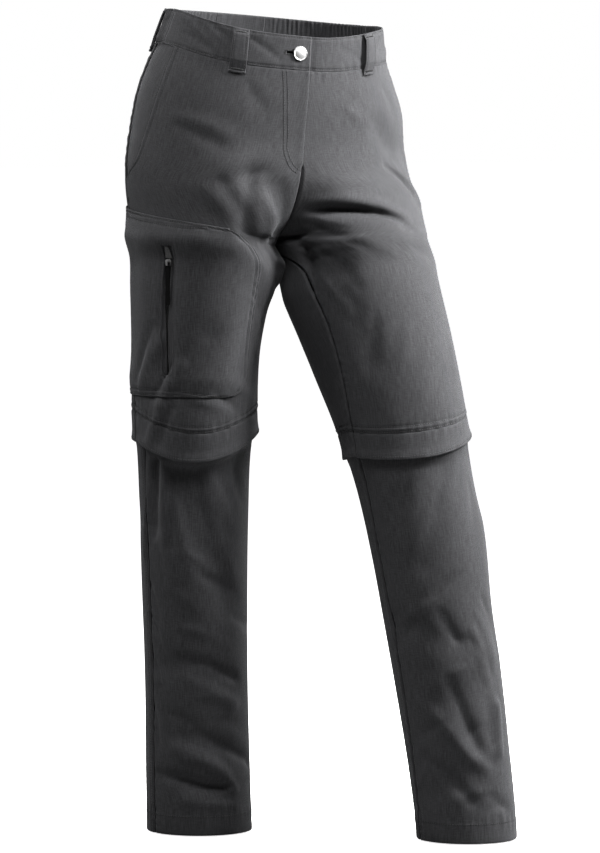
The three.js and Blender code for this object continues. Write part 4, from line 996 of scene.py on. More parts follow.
def offset_path(grid, heights, offset, edge):
    """The path at a distance in millimetres from one edge of a grid, on its outer face."""
    heights = np.broadcast_to(heights, grid["turn"].shape)
    surface = grid["p"] + grid["n"] * heights[..., None]
    axis = 0 if edge in ("top", "foot") else 1
    run = run_of(grid, axis)
    if edge in ("foot", "end"):
        run = run[-1:] - run if axis == 0 else run[:, -1:] - run
        surface, normals, run = np.flip(surface, axis), np.flip(grid["n"], axis), np.flip(run, axis)
    else:
        normals = grid["n"]
    if axis == 0:
        surface, normals, run = surface.swapaxes(0, 1), normals.swapaxes(0, 1), run.T
    points = np.stack([[np.interp(offset, r, s[:, k]) for k in range(3)] for r, s in zip(run, surface)])
    out = np.stack([[np.interp(offset, r, n[:, k]) for k in range(3)] for r, n in zip(run, normals)])
    return points, unit(out)


# ------------------------------------------------------------------------------------------ shorts panels
MOUTH_FOOT = 206.0
PANEL_COLUMNS = 116
FLY_STEP, FLY_FOOT = 0.9, 182.0


# Distances of the two rows of stitches from the edges that they hold
FOOT_ROWS, SIDE_ROWS, MOUTH_ROWS, SEAT_ROWS = (2.2, 8.4), (2.0, 7.6), (2.2, 9.2), (2.2, 7.8)


def seam_down(side, turn):
    """The drop of the zip-off seam, which dips on the front."""
    seam = ZIP_SEAM[side]
    turn = np.asarray(turn, float)
    off = np.minimum(np.abs(turn - seam["turn"]), np.abs(turn - 360 - seam["turn"]))
    lean = np.where(off < 90, np.cos(np.radians(np.minimum(off, 90))) ** seam["power"], 0)
    return seam["down"] + seam["dip"] * lean


def front_edge(down):
    """The front panel's outer edge: the pocket mouth above, the side seam below."""
    mouth, seam = along(MOUTH, "turn", np.minimum(down, 216)), side_turn(down)
    return np.where(down < 230, np.minimum(mouth, seam), seam)


def panel_edges(leg, half, down, outer_seam):
    """The turns at which the front or back panel of a leg starts and ends."""
    if half == "front":
        return start_turn(leg, down), outer_seam(down)
    return outer_seam(down), end_turn(leg, down)


def thigh_panel(side, half):
    """The grid of a shorts panel: level rows down to the crotch, then rows that lean to the zip-off seam."""
    leg = THIGH[side]
    outer_seam = front_edge if half == "front" else side_turn
    hips = steps(BAND, CROTCH, 2.5, after=np.array([0.0]))
    leans = steps(0.0, 215.0, 2.5, before=np.array([0.0]))[1:] / 215.0
    down = np.r_[hips, mix(CROTCH, ZIP_SEAM[side]["down"], leans)]
    lean = np.r_[np.zeros(len(hips)), leans]
    scale = np.radians(along(leg["rings"], "side", down) + 8)
    first, last = panel_edges(leg, half, down, outer_seam)
    turn = between(first, last, scale, PANEL_COLUMNS)
    share = (turn - first[:, None]) / (last - first)[:, None]
    own = np.where(lean[:, None] > 0, mix(CROTCH, seam_down(side, turn), lean[:, None]), down[:, None])
    first, last = panel_edges(leg, half, own, outer_seam)
    turn = np.where(lean[:, None] > 0, mix(first, last, share), turn)
    centre = np.zeros(turn.shape, bool)
    centre[: len(hips), 0 if half == "front" else -1] = True
    grid = stations(leg, turn, own, centre)
    run = run_of(grid, 1)
    from_centre = run if half == "front" else run[:, -1:] - run
    # The edges of the centre seam stay in the middle plane, so that the seam doesn't gape
    hold = np.exp(-((from_centre / 3.2) ** 2)) * smooth((CROTCH + 3 - own) / 6)
    grid["n"] = grid["n"] * np.stack([1 - hold, np.ones_like(hold), np.ones_like(hold)], axis=-1)
    return grid


def topstitched(off, first, second, high):
    """A doubled edge sewn down with two rows: raised, with a groove along each row and a rounded edge."""
    raised = high * smooth((second + 2.6 - off) / 2.0)
    grooves = 1.15 * hump(off, first, 1.15) + 1.05 * hump(off, second, 1.15)
    return raised - grooves - 1.2 * np.exp(-off / 0.9)


def plain_seam(off):
    """The groove of a seam with nothing sewn down."""
    return -2.6 * np.exp(-((off / 1.6) ** 2)) + 0.25 * hump(off, 4.0, 1.8)


PANEL = {}
HEIGHT = {}
for side in ("right", "left"):
    for half in ("front", "back"):
        grid = thigh_panel(side, half)
        u, v = run_of(grid, 1), run_of(grid, 0)
        start, end = u, u[:, -1:] - u
        top, foot = v, v[-1:] - v
        below_crotch = smooth((grid["down"] - CROTCH - 6) / 14)
        high = topstitched(foot, *FOOT_ROWS, 0.45) + pucker(u + 7, foot, 0.34, 15) - 0.5 * np.exp(-top / 1.2)
        high = high + pucker(u, top, 0.22, 10)
        if half == "front":
            mouth = smooth((MOUTH_FOOT + 4 - grid["down"]) / 8)
            high = high + mouth * (topstitched(end, *MOUTH_ROWS, 0.5) + pucker(v, end, 0.16, 12))
            high = high + (1 - mouth) * (plain_seam(end) + pucker(v, end, 0.3, 9))
            high = high + below_crotch * (plain_seam(start) + pucker(v + 5, start, 0.34, 11))
            fly = smooth((FLY_FOOT + 3 - grid["down"]) / 5)
            if side == "right":
                high = high + fly * (FLY_STEP * smooth((14 - start) / 12) - 0.5 * np.exp(-start / 0.8))
            high = high + (1 - below_crotch) * (1 - fly) * plain_seam(start)
        else:
            high = high + topstitched(start, *SIDE_ROWS, 0.4) * 0.9 + pucker(v, start, 0.3, 12)
            high = high + below_crotch * (plain_seam(end) + pucker(v + 5, end, 0.34, 11))
            seat = topstitched(end, *SEAT_ROWS, 0.35) if side == "left" else plain_seam(end)
            high = high + (1 - below_crotch) * seat
        name = f"{side}_shorts_{half}_cloth"
        piece = cloth(name, grid, CHARCOAL, high, replaces=[f"shorts_{half}_{side}"])
        declare(grid)
        PANEL[side, half], HEIGHT[side, half] = grid, high


def panel_rows(side, half, offs, edge):
    """Rows of stitches at some distances from one edge of a shorts panel."""
    return [offset_path(PANEL[side, half], HEIGHT[side, half], off, edge) for off in offs]


def end_rows_above(side, half, offs, lowest):
    """The rows along the end of a panel, down to a drop."""
    kept = PANEL[side, half]["down"][:, -1] < lowest
    return [(path[kept], out[kept]) for path, out in panel_rows(side, half, offs, "end")]


for side in ("right", "left"):
    zip_rows = panel_rows(side, "front", FOOT_ROWS, "foot") + panel_rows(side, "back", FOOT_ROWS, "foot")
    stitch_row(f"{side}_zip_seam_stitches", zip_rows)
    stitch_row(f"{side}_side_seam_stitches", panel_rows(side, "back", SIDE_ROWS, "start"))
    stitch_row(f"{side}_pocket_mouth_stitches", end_rows_above(side, "front", MOUTH_ROWS, MOUTH_FOOT + 2))
stitch_row("seat_seam_stitches", end_rows_above("left", "back", SEAT_ROWS, CROTCH - 4))

# Fly: two curved rows on the right front
FLY_LINE = table("down turn", [
    (44, 103.4), (88, 100.6), (133, 97.5), (160, 95.0), (172, 92.4), (180, 89.8), (187, 86.4), (192, 82.0),
])


def fly_path(inner):
    """The fly's row, moved inward by some millimetres."""
    down = np.linspace(FLY_LINE["down"][0], FLY_LINE["down"][-1], 80)
    turn = along(FLY_LINE, "turn", down)
    leg = THIGH["right"]
    scale = millimetres_a_degree(leg, turn, down)
    bend = smooth((down - 146) / 22)
    turn = turn - inner * (1 - 0.4 * bend) / scale
    return path_on(leg, turn, down - inner * 0.7 * bend, FLY_STEP * 0.2)


stitch_row("fly_stitches", [fly_path(0.0), fly_path(5.0)])

# ------------------------------------------------------------------------------- waistband and belt loops
# Heights of the band's faces, and the distance of its rows of stitches from its edges
BAND_OUT, BAND_IN, BAND_ROW = 0.6, -1.6, 2.4
# Turns at which the gathered part of the band starts and ends
GATHER_START, GATHER_END = 176, 256
RIBS = 31
BAND_DROPS = np.r_[
    0, 0.5, 1.2, 2.0, 2.8, 3.8, np.linspace(6, 19.7, 8), 21,
    np.linspace(22.3, 36, 8), 38.2, 39.2, 40, 40.8, 41.5, 42,
]
BUTTON_TURN, BUTTON_DOWN = 96.0, 21.0


def band_grid(side, turns):
    """A grid of the band's whole height, with its ends at the centre front and back in the middle plane."""
    turn, down = np.meshgrid(turns, BAND_DROPS)
    centre = (np.abs(turn - 90) < 1e-6) | (np.abs(turn - 270) < 1e-6)
    return stations(THIGH[side], turn, down, centre)


def band_heights(grid):
    """Outer and inner faces of the folded band, sewn down along both edges, with soft creases."""
    v = run_of(grid, 0)
    top, foot = v, v[-1:] - v
    u = run_of(grid, 1)
    edge = 0.8 * np.exp(-top / 0.8) + 0.95 * np.exp(-foot / 0.9)
    rows = 0.6 * hump(top, BAND_ROW, 0.9) + 0.75 * hump(foot, BAND_ROW, 1.0)
    gather = pucker(u, foot, 0.3, 12) + pucker(u + 9, top, 0.2, 10)
    return BAND_OUT - edge - rows + gather, BAND_OUT - 2.2 + edge + gather


def band_edge_rows(grid, outer, edges=("top", "foot")):
    """Rows of stitches along edges of a part of the band."""
    return [offset_path(grid, outer, BAND_ROW, edge) for edge in edges]


band_rows = {}

# Front right, with the buttonhole's slit
turns = np.linspace(90, GATHER_START, 90)
per = float(millimetres_a_degree(THIGH["right"], 97.0, BUTTON_DOWN))
eye, tail = BUTTON_TURN - 3.2 / per, BUTTON_TURN + 17 / per
turns = np.sort(np.r_[turns[(np.abs(turns - eye) > 0.4) & (np.abs(turns - tail) > 0.4)], eye, tail])
grid = band_grid("right", turns)
outer, inner = band_heights(grid)
for turn_at, down_at, turn_to, down_to, wide, high in (
    (168, 6, 148, 20, 4.5, 1.6),
    (162, 24, 138, 36, 4, -1.5),
    (146, 3, 131, 18, 4, -1.3),
    (122, 10, 106, 30, 4.5, -1.1),
):
    crease = {"folds": [(turn_at, down_at, turn_to, down_to, wide, high, 1)]}
    ripple = fold_height(crease, grid["turn"], grid["down"], 122.0)
    outer, inner = outer + ripple, inner + ripple
end_roll = 0.6 * np.exp(-(grid["turn"] - 90) * per / 0.7)
hole = np.zeros((len(BAND_DROPS) - 1, len(turns) - 1), bool)
across = (turns[:-1] >= eye - 1e-6) & (turns[1:] <= tail + 1e-6)
down_cells = (BAND_DROPS[:-1] >= 19.6) & (BAND_DROPS[1:] <= 22.4)
hole[np.ix_(down_cells, across)] = True
node = ["waistband_front_right"]
piece = cloth("front_band_right", grid, CHARCOAL, outer - end_roll, inner + end_roll, node, hole=hole)
declare(grid)
band_rows["right"] = band_edge_rows(grid, outer, ("top", "foot", "start"))
slit = np.linspace(eye + 1.0, tail, 24)
slit_paths = [path_on(THIGH["right"], slit, np.full(24, BUTTON_DOWN + s * 2.2), 0.45) for s in (-1, 1)]
stitch_row("buttonhole_stitches", slit_paths, 0.75, 1.9, 0.6, 0.2, across=True)
bar_turn = np.full(12, tail + 0.7)
bar = path_on(THIGH["right"], bar_turn, np.linspace(BUTTON_DOWN - 2.6, BUTTON_DOWN + 2.6, 12), 0.5)
stitch_row("buttonhole_bar", [bar], 0.7, 1.8, 0.6, 0.2, across=True)

# Front left, which goes on under the right one as the button's underlap
lap = 34.0 / per
left_turns = np.r_[np.linspace(GATHER_START, 106, 70), np.linspace(105, 90, 22)]
left_part = band_grid("left", left_turns)
lap_part = band_grid("right", np.linspace(90, 90 + lap, 28))
sink_left = np.interp(left_part["turn"], [90, 91.5, 93, 99, 106], [1, 0.844, 0.5, 0.156, 0])
sink = np.concatenate([sink_left, np.ones((len(BAND_DROPS), 27))], axis=1)
grid = dict(join(left_part, lap_part), sign=-1.0)
outer, inner = band_heights(grid)
sunk = BAND_IN - 0.2 - GAP - BAND_OUT
wrinkle = {"folds": [
    (150, 6, 138, 24, 4, -1.4, 1), (170, 24, 152, 36, 4, 1.4, 1), (122, 32, 106, 12, 4.5, -1.1, 1),
]}
ripple = fold_height(wrinkle, np.where(sink > 0.999, 60.0, grid["turn"]), grid["down"], 122.0)
outer, inner = outer + sunk * sink + ripple, inner + sunk * sink + ripple
piece = cloth("front_band_left", grid, CHARCOAL, outer, inner, ["waistband_front_left"])
declare(grid)
shown = len(left_turns)
band_rows["left"] = [(path[:shown], out[:shown]) for path, out in band_edge_rows(grid, outer)]

# Gathered parts, whose ribs are calmer in the middle of the band and towards the back
for side in ("right", "left"):
    share = np.linspace(0, 1, RIBS * 10 + 1)
    grid = band_grid(side, mix(GATHER_START, GATHER_END, share))
    ends = smooth(share * 12) * smooth((1 - share) * 12)
    pulled = 1 - 0.72 * smooth((share - 0.36) * 4)
    drops = BAND_DROPS[:, None]
    drift = 0.5 * np.sin(drops / 9 + share * 37) + 0.35 * np.sin(drops / 5 + share * 71)
    uneven = 0.72 + 0.28 * np.sin(share * 61 + 1.2) * np.sin(share * 23)
    calm = 1 - 0.35 * hump(drops, 21, 9)
    wave = -np.cos(2 * np.pi * RIBS * share + drift * 0.9) * ends * pulled * uneven * calm * 1.25
    outer, inner = band_heights(grid)
    waved = outer + wave
    piece = cloth(f"gathered_band_{side}", grid, CHARCOAL, waved, inner + wave, [f"waistband_elastic_{side}"])
    on_waves = dict(grid, p=grid["p"] + grid["n"] * waved[..., None])
    declare(on_waves)
    band_rows[side] += band_edge_rows(grid, waved)
    band_rows[side] += [grid_path(grid, waved, row=row) for row in (9, 18)]

# Plain part at the centre back
back_turns = np.linspace(GATHER_END, 270, 22)
right_back, left_back = (band_grid(side, back_turns) for side in ("right", "left"))
grid = dict(join(right_back, mirrored(left_back, -1.0)), sign=-1.0)
outer, inner = band_heights(grid)
piece = cloth("back_band", grid, CHARCOAL, outer, inner, ["waistband_back"])
declare(grid)
band_rows["right"] += band_edge_rows(grid, outer)
for side in ("right", "left"):
    stitch_row(f"{side}_band_stitches", band_rows[side], 3.4, 2.6, 0.6)

# How far a loop stands off the band and the cloth below it, as a share of its most
LOOP_ROWS = table("down stand", [
    (0.5, 0.05), (3, 0.25), (8, 0.85), (16, 1), (30, 1), (38, 0.9), (44, 0.45), (49, 0.05), (55, 0),
])
LOOP_TALL = 55
# Side, turn at the top and at the foot, how far it stands off, how far over the ribs, and where it ends
LOOPS = {
    "front_right": ("right", 127.5, 125.0, 4.4, 0.0, LOOP_TALL),
    "side_right": ("right", 204.0, 204.0, 1.4, 1.1, LOOP_TALL),
    "front_left": ("left", 128.5, 126.5, 4.4, 0.0, 51.0),
    "side_left": ("left", 204.0, 204.0, 1.4, 1.1, LOOP_TALL),
    "back": (None, 270.0, 270.0, 6.8, 0.0, LOOP_TALL),
}
loop_rows, loop_bars = [], []
for name, (side, turn_top, turn_foot, stand, over, foot) in LOOPS.items():
    drops = np.r_[0.5, 0.9, 1.6, np.linspace(2.6, 52, 44), 53.4, 54.4, LOOP_TALL]
    share = (drops / LOOP_TALL)[:, None]
    wide = np.r_[0, 0.05, 0.1, 0.16, np.linspace(0.24, 0.76, 9), 0.84, 0.9, 0.95, 1]
    if side is None:
        reach = 10 / float(millimetres_a_degree(THIGH["right"], 266.0, 21.0))
        inward = (wide[wide <= 0.5] * 2)[None, :]
        halves = [
            stations(THIGH[near], 270 - reach * (1 - inward), drops[:, None], np.abs(inward - 1) < 1e-9)
            for near in ("right", "left")
        ]
        grid = dict(join(halves[0], mirrored(halves[1], -1.0)), sign=-1.0)
    else:
        leg = THIGH[side]
        reach = 10 / float(millimetres_a_degree(leg, turn_top, 21.0))
        middle = mix(turn_top, turn_foot, share)
        grid = stations(leg, middle + (wide[None, :] * 2 - 1) * reach, share * foot)
    stands = np.interp(drops, LOOP_ROWS["down"], LOOP_ROWS["stand"])[:, None]
    u, v = run_of(grid, 1), run_of(grid, 0)
    edge = np.minimum(u, u[:, -1:] - u)
    ends = np.minimum(v, v[-1:] - v)
    base = BAND_OUT + GAP + over + stand * stands
    outer = base + 1.9 - 0.9 * np.exp(-edge / 0.7) - 0.6 * hump(edge, 2.6, 0.9)
    outer = outer - 0.4 * np.exp(-ends / 0.8) - 0.35 * hump(ends, 3.4, 1.0)
    inner = base + 0.1 + 0.4 * np.exp(-edge / 0.7)
    piece = cloth(f"belt_loop_{name}_cloth", grid, CHARCOAL, outer, inner, [f"belt_loop_{name}"])
    if side is None:
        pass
    elif name.startswith("front"):
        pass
    else:
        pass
    declare(grid)
    loop_rows += [offset_path(grid, outer, 2.6, edge_name) for edge_name in ("start", "end")]
    for row in (5, len(drops) - 6):
        path, out = grid_path(grid, outer, row=row)
        loop_bars.append((path[3:-3], out[3:-3]))
stitch_row("belt_loop_stitches", loop_rows, 3.0, 2.3, 0.55)
stitch_row("belt_loop_bars", loop_bars, 0.85, 2.6, 0.75, 0.15, across=True)

# ------------------------------------------------------------------------------ pocket facings, fly shield
for side in ("right", "left"):
    leg = THIGH[side]
    drops = np.linspace(BAND + 0.3, 214, 70)[:, None]
    start = mix(start_turn(leg, drops), side_turn(drops), 11 / 15)
    end = mix(side_turn(drops), end_turn(leg, drops), 1 / 15)
    share = np.linspace(0, 1, 34)[None, :]
    grid = stations(leg, mix(start, end, share), drops)
    piece = cloth(f"{side}_pocket_facing_cloth", grid, CHARCOAL, UNDER, replaces=[f"pocket_facing_{side}"])
    declare(grid)

# The shield runs from behind the left front, over the centre, to behind the fly's rows
drops = np.linspace(0, 1, 46)[:, None]
across = np.linspace(0, 1, 20)[None, :]
shield_bend = np.sqrt(1 - across**2)
shield_down = mix(BAND + 0.3, mix(144, 178, shield_bend), drops)
leg = THIGH["right"]
begin = start_turn(leg, shield_down)
per = float(millimetres_a_degree(leg, 95.0, 110.0))
right_part = stations(leg, begin + across * 40 / per, shield_down, across < 1e-9)
leg = THIGH["left"]
shield_left = mix(BAND + 0.3, 178.0, drops)
begin = start_turn(leg, shield_left)
left_share = np.linspace(1, 0, 8)[None, :]
left_part = stations(leg, begin + left_share * 14 / per, shield_left, left_share < 1e-9)
grid = dict(join(left_part, right_part), sign=-1.0)
piece = cloth("fly_shield_cloth", grid, LINING, UNDER, replaces=["fly_shield"])
declare(grid)

# ------------------------------------------------------------------------------------------ cargo pocket
CARGO = {
    "front": 71, "front_foot": 60, "back": 214, "foot": 466,
    "corner": 26, "top_corner": 46, "foot_corner": 30,
}
SLOT = {"top": 287.0, "foot": 441.0, "width": 16.5}
SLOT_CELLS = 8
# The rows lean with the pocket's top down to the slot, and its front corner starts at CARGO_HEAD
CARGO_LEAN, CARGO_HEAD = 34, 256


def cargo_top(turn):
    """The drop of the pocket's top edge, which rises to the back."""
    return mix(267, 245, (turn - 86) / 120)


def corner_inset(from_edge, height):
    """How far a rounded corner draws the edge in, as a share of its width."""
    return np.where(from_edge >= height, 0, 1 - np.sqrt(clamp(1 - (1 - clamp(from_edge / height)) ** 2)))


def cargo_puff(turn, down):
    """How far the pocket stands off the leg."""
    tall = np.minimum(down - cargo_top(turn), CARGO["foot"] - down)
    broad = np.minimum(turn - CARGO["front"], CARGO["back"] - turn) * 1.45
    return 3.4 * smooth(tall / 24) * smooth(broad / 30)


def slot_turn(down):
    """The line of the slot's middle."""
    return along(SLOT_LINE, "turn", down)


leg = THIGH["right"]
upper = np.r_[0, 0.03, 0.07, 0.12, 0.18, 0.26, np.linspace(0.34, 0.94, 8), 1]
middle = np.linspace(SLOT["top"], SLOT["foot"], 60)
lower = np.r_[np.linspace(0.08, 0.6, 5), 0.68, 0.76, 0.84, 0.9, 0.95, 1]
level = np.r_[SLOT["top"] - (1 - upper) * CARGO_LEAN, middle[1:], mix(SLOT["foot"], CARGO["foot"], lower)]
bend_at = clamp((level - CARGO_HEAD) / (CARGO["foot"] - CARGO_HEAD))
tall = CARGO["foot"] - cargo_top(130.0)
inset = np.maximum(
    corner_inset(bend_at * tall, CARGO["top_corner"]),
    corner_inset((1 - bend_at) * tall, CARGO["foot_corner"]),
)
front = mix(CARGO["front"], CARGO["front_foot"], bend_at) + CARGO["corner"] * inset
per = millimetres_a_degree(leg, slot_turn(level), level)
round_foot = np.sqrt(clamp(1 - clamp((level - (SLOT["foot"] - 8)) / 8.4) ** 2, 0.02, 1))
half = np.where(level > SLOT["foot"], 2.6, SLOT["width"] / 2 * round_foot) / per
fine_mm = np.array([0, 0.7, 1.5, 2.5, 3.6, 5.0, 6.6, 8.4, 10.4])
lip_mm = np.array([0.5, 1.2, 2.2, 3.4])
columns = []
line = slot_turn(level)
for front_at, slot_front, slot_back, scale in zip(front, line - half, line + half, per):
    first = front_at + fine_mm / scale
    last = CARGO["back"] - fine_mm[::-1] / scale
    lip_front, lip_back = slot_front - lip_mm[::-1] / scale, slot_back + lip_mm / scale
    columns.append(np.r_[
        first, np.linspace(first[-1], lip_front[0], 26)[1:-1], lip_front,
        np.linspace(slot_front, slot_back, SLOT_CELLS + 1),
        lip_back, np.linspace(lip_back[-1], last[0], 24)[1:-1], last,
    ])
turn = np.array(columns)
slot_first = len(fine_mm) + 24 + len(lip_mm)
slot_last = slot_first + SLOT_CELLS
top_line = cargo_top(turn)
down = np.where(
    level[:, None] <= SLOT["top"],
    mix(top_line, SLOT["top"], clamp((level[:, None] - (SLOT["top"] - CARGO_LEAN)) / CARGO_LEAN)),
    level[:, None],
)
grid = stations(leg, turn, down)
hole = np.zeros((turn.shape[0] - 1, turn.shape[1] - 1), bool)
in_slot = (level[:-1] >= SLOT["top"] - 1e-6) & (level[1:] <= SLOT["foot"] + 1e-6)
hole[in_slot, slot_first:slot_last] = True
u, v = run_of(grid, 1), run_of(grid, 0)
edge = np.minimum(np.minimum(u, u[:, -1:] - u), np.minimum(v, v[-1:] - v))
slot_off = np.maximum(np.abs(turn - slot_turn(down)) * per[:, None] - SLOT["width"] / 2, 0)
slot_off = np.hypot(slot_off, np.maximum(np.maximum(SLOT["top"] - down, down - SLOT["foot"]), 0))
puff = cargo_puff(turn, down)
outer = GAP + puff + 1.9 - 0.95 * hump(edge, 2.6, 1.1) - 0.95 * hump(edge, 8.5, 1.1)
outer = outer - 0.7 * np.exp(-edge / 0.7)
outer = outer - 0.8 * hump(slot_off, 2.2, 0.9) - 0.5 * np.exp(-slot_off / 0.8) + pucker(u + v, edge, 0.3, 14)
inner = GAP + puff + 0.1 + 0.25 * np.exp(-edge / 0.7)
piece = cloth("cargo_pocket_cloth", grid, CHARCOAL, outer, inner, ["cargo_pocket"], hole=hole)
declare(grid)
pocket_rows = []
for off in (2.4, 8.6):
    for name in ("top", "foot", "start", "end"):
        path, out = offset_path(grid, outer, off, name)
        trim = 3 if off > 5 else 1
        pocket_rows.append((path[trim:-trim], out[trim:-trim]))
stitch_row("cargo_pocket_stitches", pocket_rows)
slot_rows = []
kept = (level >= SLOT["top"] - 1) & (level <= SLOT["foot"] + 0.5)
for column in (slot_first - 3, slot_last + 3):
    path, out = grid_path(grid, outer, column=column)
    slot_rows.append((path[kept], out[kept]))
for end, step_out in (("top", -1), ("foot", 1)):
    path, out = grid_path(grid, outer, row=int(np.argmin(np.abs(level - SLOT[end]))) + step_out)
    slot_rows.append((path[slot_first - 2 : slot_last + 3], out[slot_first - 2 : slot_last + 3]))
stitch_row("slot_stitches", slot_rows, 2.6, 2.1, 0.55)


def slot_strip(drops, before, after, columns):
    """A grid along the slot's line, from a distance before it to a distance after it at each drop."""
    leg = THIGH["right"]
    per = millimetres_a_degree(leg, slot_turn(drops), drops)
    share = np.linspace(0, 1, columns)[None, :]
    first = slot_turn(drops) - before / per
    last = slot_turn(drops) + after / per
    return stations(leg, mix(first[:, None], last[:, None], share), drops[:, None])


def puff_share(grid, share):
    """A height between the leg and the puffed pocket."""
    return GAP + share * np.maximum(cargo_puff(grid["turn"], grid["down"]), 0.5)


strip = slot_strip(np.linspace(SLOT["top"] - 6, SLOT["foot"] + 6, 80), 13, 13, 16)
high, low = puff_share(strip, 0.42), puff_share(strip, 0.22)
piece = cloth("pocket_zip_tape", strip, TAPE_FINISH, high, low, ["cargo_zip_tape"])
declare(strip)

# The lips gape at the slider and nearly meet below it; the zip's middle is 0.6 mm off the line
drops = np.linspace(SLOT["top"] - 3, SLOT["foot"] + 3, 90)
zip_gap = mix(6.4, 3.0, smooth((drops - 340) / 70)) / 2
lip_rows = []
for name, before, after in (("front", 12.25, 0.6 - zip_gap), ("back", -0.6 - zip_gap, 12.25)):
    strip = slot_strip(drops, before, after, 18)
    u = run_of(strip, 1)
    inner_edge = u[:, -1:] - u if name == "front" else u
    high = puff_share(strip, 0.86) - 0.25 * np.exp(-inner_edge / 0.7)
    low = puff_share(strip, 0.6)
    piece = cloth(f"pocket_zip_lip_{name}", strip, CHARCOAL, high, low, [f"cargo_zip_lip_{name}"])
    declare(strip)
    lip_rows.append(offset_path(strip, high, 1.8, "end" if name == "front" else "start"))
stitch_row("zip_lip_stitches", lip_rows, 2.6, 2.0, 0.5)
drops = np.linspace(287.5, 303.6, 18)
half_guard = mix(6.0, 11.0, (drops - 287.5) / 16.1) / 2
strip = slot_strip(drops, half_guard - 0.6, half_guard + 0.6, 12)
u, v = run_of(strip, 1), run_of(strip, 0)
edge = np.minimum(np.minimum(u, u[:, -1:] - u), np.minimum(v, v[-1:] - v))
high = puff_share(strip, 1.2) - 0.35 * np.exp(-edge / 0.6) + 0.3
piece = cloth("pocket_zip_guard", strip, GUARD, high, puff_share(strip, 0.98), ["cargo_zip_guard"])
declare(strip)

# Coil teeth of the closed zip below the slider
drops = np.linspace(313, 438, 220)
per = millimetres_a_degree(leg, slot_turn(drops), drops)
level_at = GAP + 0.5 * np.maximum(cargo_puff(slot_turn(drops), drops), 0.5)
coil = path_on(leg, slot_turn(drops) + 0.6 / per, drops, level_at + 0.2)
stitch_row("pocket_zip_coil", [coil], 1.25, 3.4, 0.7, 0.05, across=True, finish=TEETH)

# ----------------------------------------------------------------------------- zip-off flaps, zips and legs
HEM_TALL = 26.0
# Shares of a lower leg's rows above and inside its hem
ABOVE_HEM, IN_HEM = 0.96, 0.04
# How far below the zip-off seam, behind the flap, a lower leg starts
LEG_START = 22.8


def flap_tall(side, turn):
    """A flap's height, which goes over from one place round the leg to the next."""
    flap = FLAP[side]
    tall = flap["inner"]
    for name, begins, over in (("front", 30, 60), ("outer", 80, 70), ("back", 200, 80), ("inner", 290, 60)):
        tall = mix(tall, flap[name], smooth((turn - begins) / over))
    return tall


def flap_down(side, turn, share):
    """The drop at a share of the way down a flap."""
    return seam_down(side, turn) + share * flap_tall(side, turn)


def lower_leg_down(side, turn, share):
    """The drop at a share of the way down a lower leg, with its hem level."""
    top = seam_down(side, turn) + LEG_START
    above = mix(top, HEM - HEM_TALL, share / ABOVE_HEM)
    return np.where(share > ABOVE_HEM, mix(HEM - HEM_TALL, HEM, (share - ABOVE_HEM) / IN_HEM), above)


def leg_grid(leg, half, columns, shares, down_at):
    """Turns and drops of a panel whose drop depends on the turn as well as on the share of the way down."""
    side, shares = leg["side"], np.asarray(shares)[:, None]
    shift = 11.5 if leg is SHIN["right"] else 0.0

    def outer_seam(drop):
        return side_turn(drop) - shift

    level = down_at(side, ZIP_SEAM[side]["turn"] + 180, shares)[:, 0]
    first, last = panel_edges(leg, half, level, outer_seam)
    turn = between(first, last, np.full(len(level), np.radians(72.0)), columns)
    across = (turn - first[:, None]) / (last - first)[:, None]
    down = down_at(side, turn, shares)
    first, last = panel_edges(leg, half, down, outer_seam)
    return mix(first, last, across), down


for side in ("right", "left"):
    leg = THIGH[side]
    flap_rows = []
    for half in ("front", "back"):
        shares = np.r_[0, 0.02, 0.05, 0.09, np.linspace(0.14, 0.86, 14), 0.9, 0.935, 0.965, 0.985, 1]
        turn, down = leg_grid(leg, half, 80, shares, flap_down)
        grid = stations(leg, turn, down)
        u, v = run_of(grid, 1), run_of(grid, 0)
        foot = v[-1:] - v
        edge = np.minimum(u, u[:, -1:] - u)
        sway = 0.5 * np.sin(u / 31 + 1.1) + 0.3 * np.sin(u / 17 + 2.3)
        high = 0.8 * shares[:, None] + sway * smooth(shares[:, None] * 1.2) * smooth(edge / 16) * 0.8
        high = high + 0.25 * smooth((4.4 - foot) / 1.2) - 0.3 * hump(foot, 3.4, 0.8)
        high = high - 0.4 * np.exp(-foot / 0.6)
        high = high - 0.7 * np.exp(-v / 1.4) + pucker(u, v, 0.34, 9) + pucker(u + 4, foot, 0.18, 7)
        high = high + plain_seam(edge) * 0.7
        high = high + 1.1 * smooth((14 - foot) / 12)
        piece = cloth(f"{side}_flap_{half}_cloth", grid, CHARCOAL, high, high - 1.3, [f"flap_{half}_{side}"])
        declare(grid)
        flap_rows.append(offset_path(grid, high, 3.4, "foot"))
    stitch_row(f"{side}_flap_stitches", flap_rows)
    drops = np.linspace(-8, 22, 10)[:, None]
    seam_at = ZIP_SEAM[side]["down"]
    start, end = float(start_turn(leg, seam_at)), float(end_turn(leg, seam_at))
    turn = mix(start + 0.5, end - 0.5, np.linspace(0, 1, 90))[None, :]
    grid = stations(leg, turn, seam_down(side, turn) + drops)
    piece = cloth(f"{side}_leg_zip_tape", grid, TAPE_FINISH, -2.6, -3.6, [f"leg_zip_{side}"])
    declare(grid)
    coil_turn = mix(start + 0.8, end - 0.8, np.linspace(0, 1, 500))
    coil = path_on(leg, coil_turn, seam_down(side, coil_turn) + 13.5, -2.5)
    stitch_row(f"{side}_leg_zip_coil", [coil], 1.5, 4.2, 0.9, 0.0, across=True, finish=TEETH)

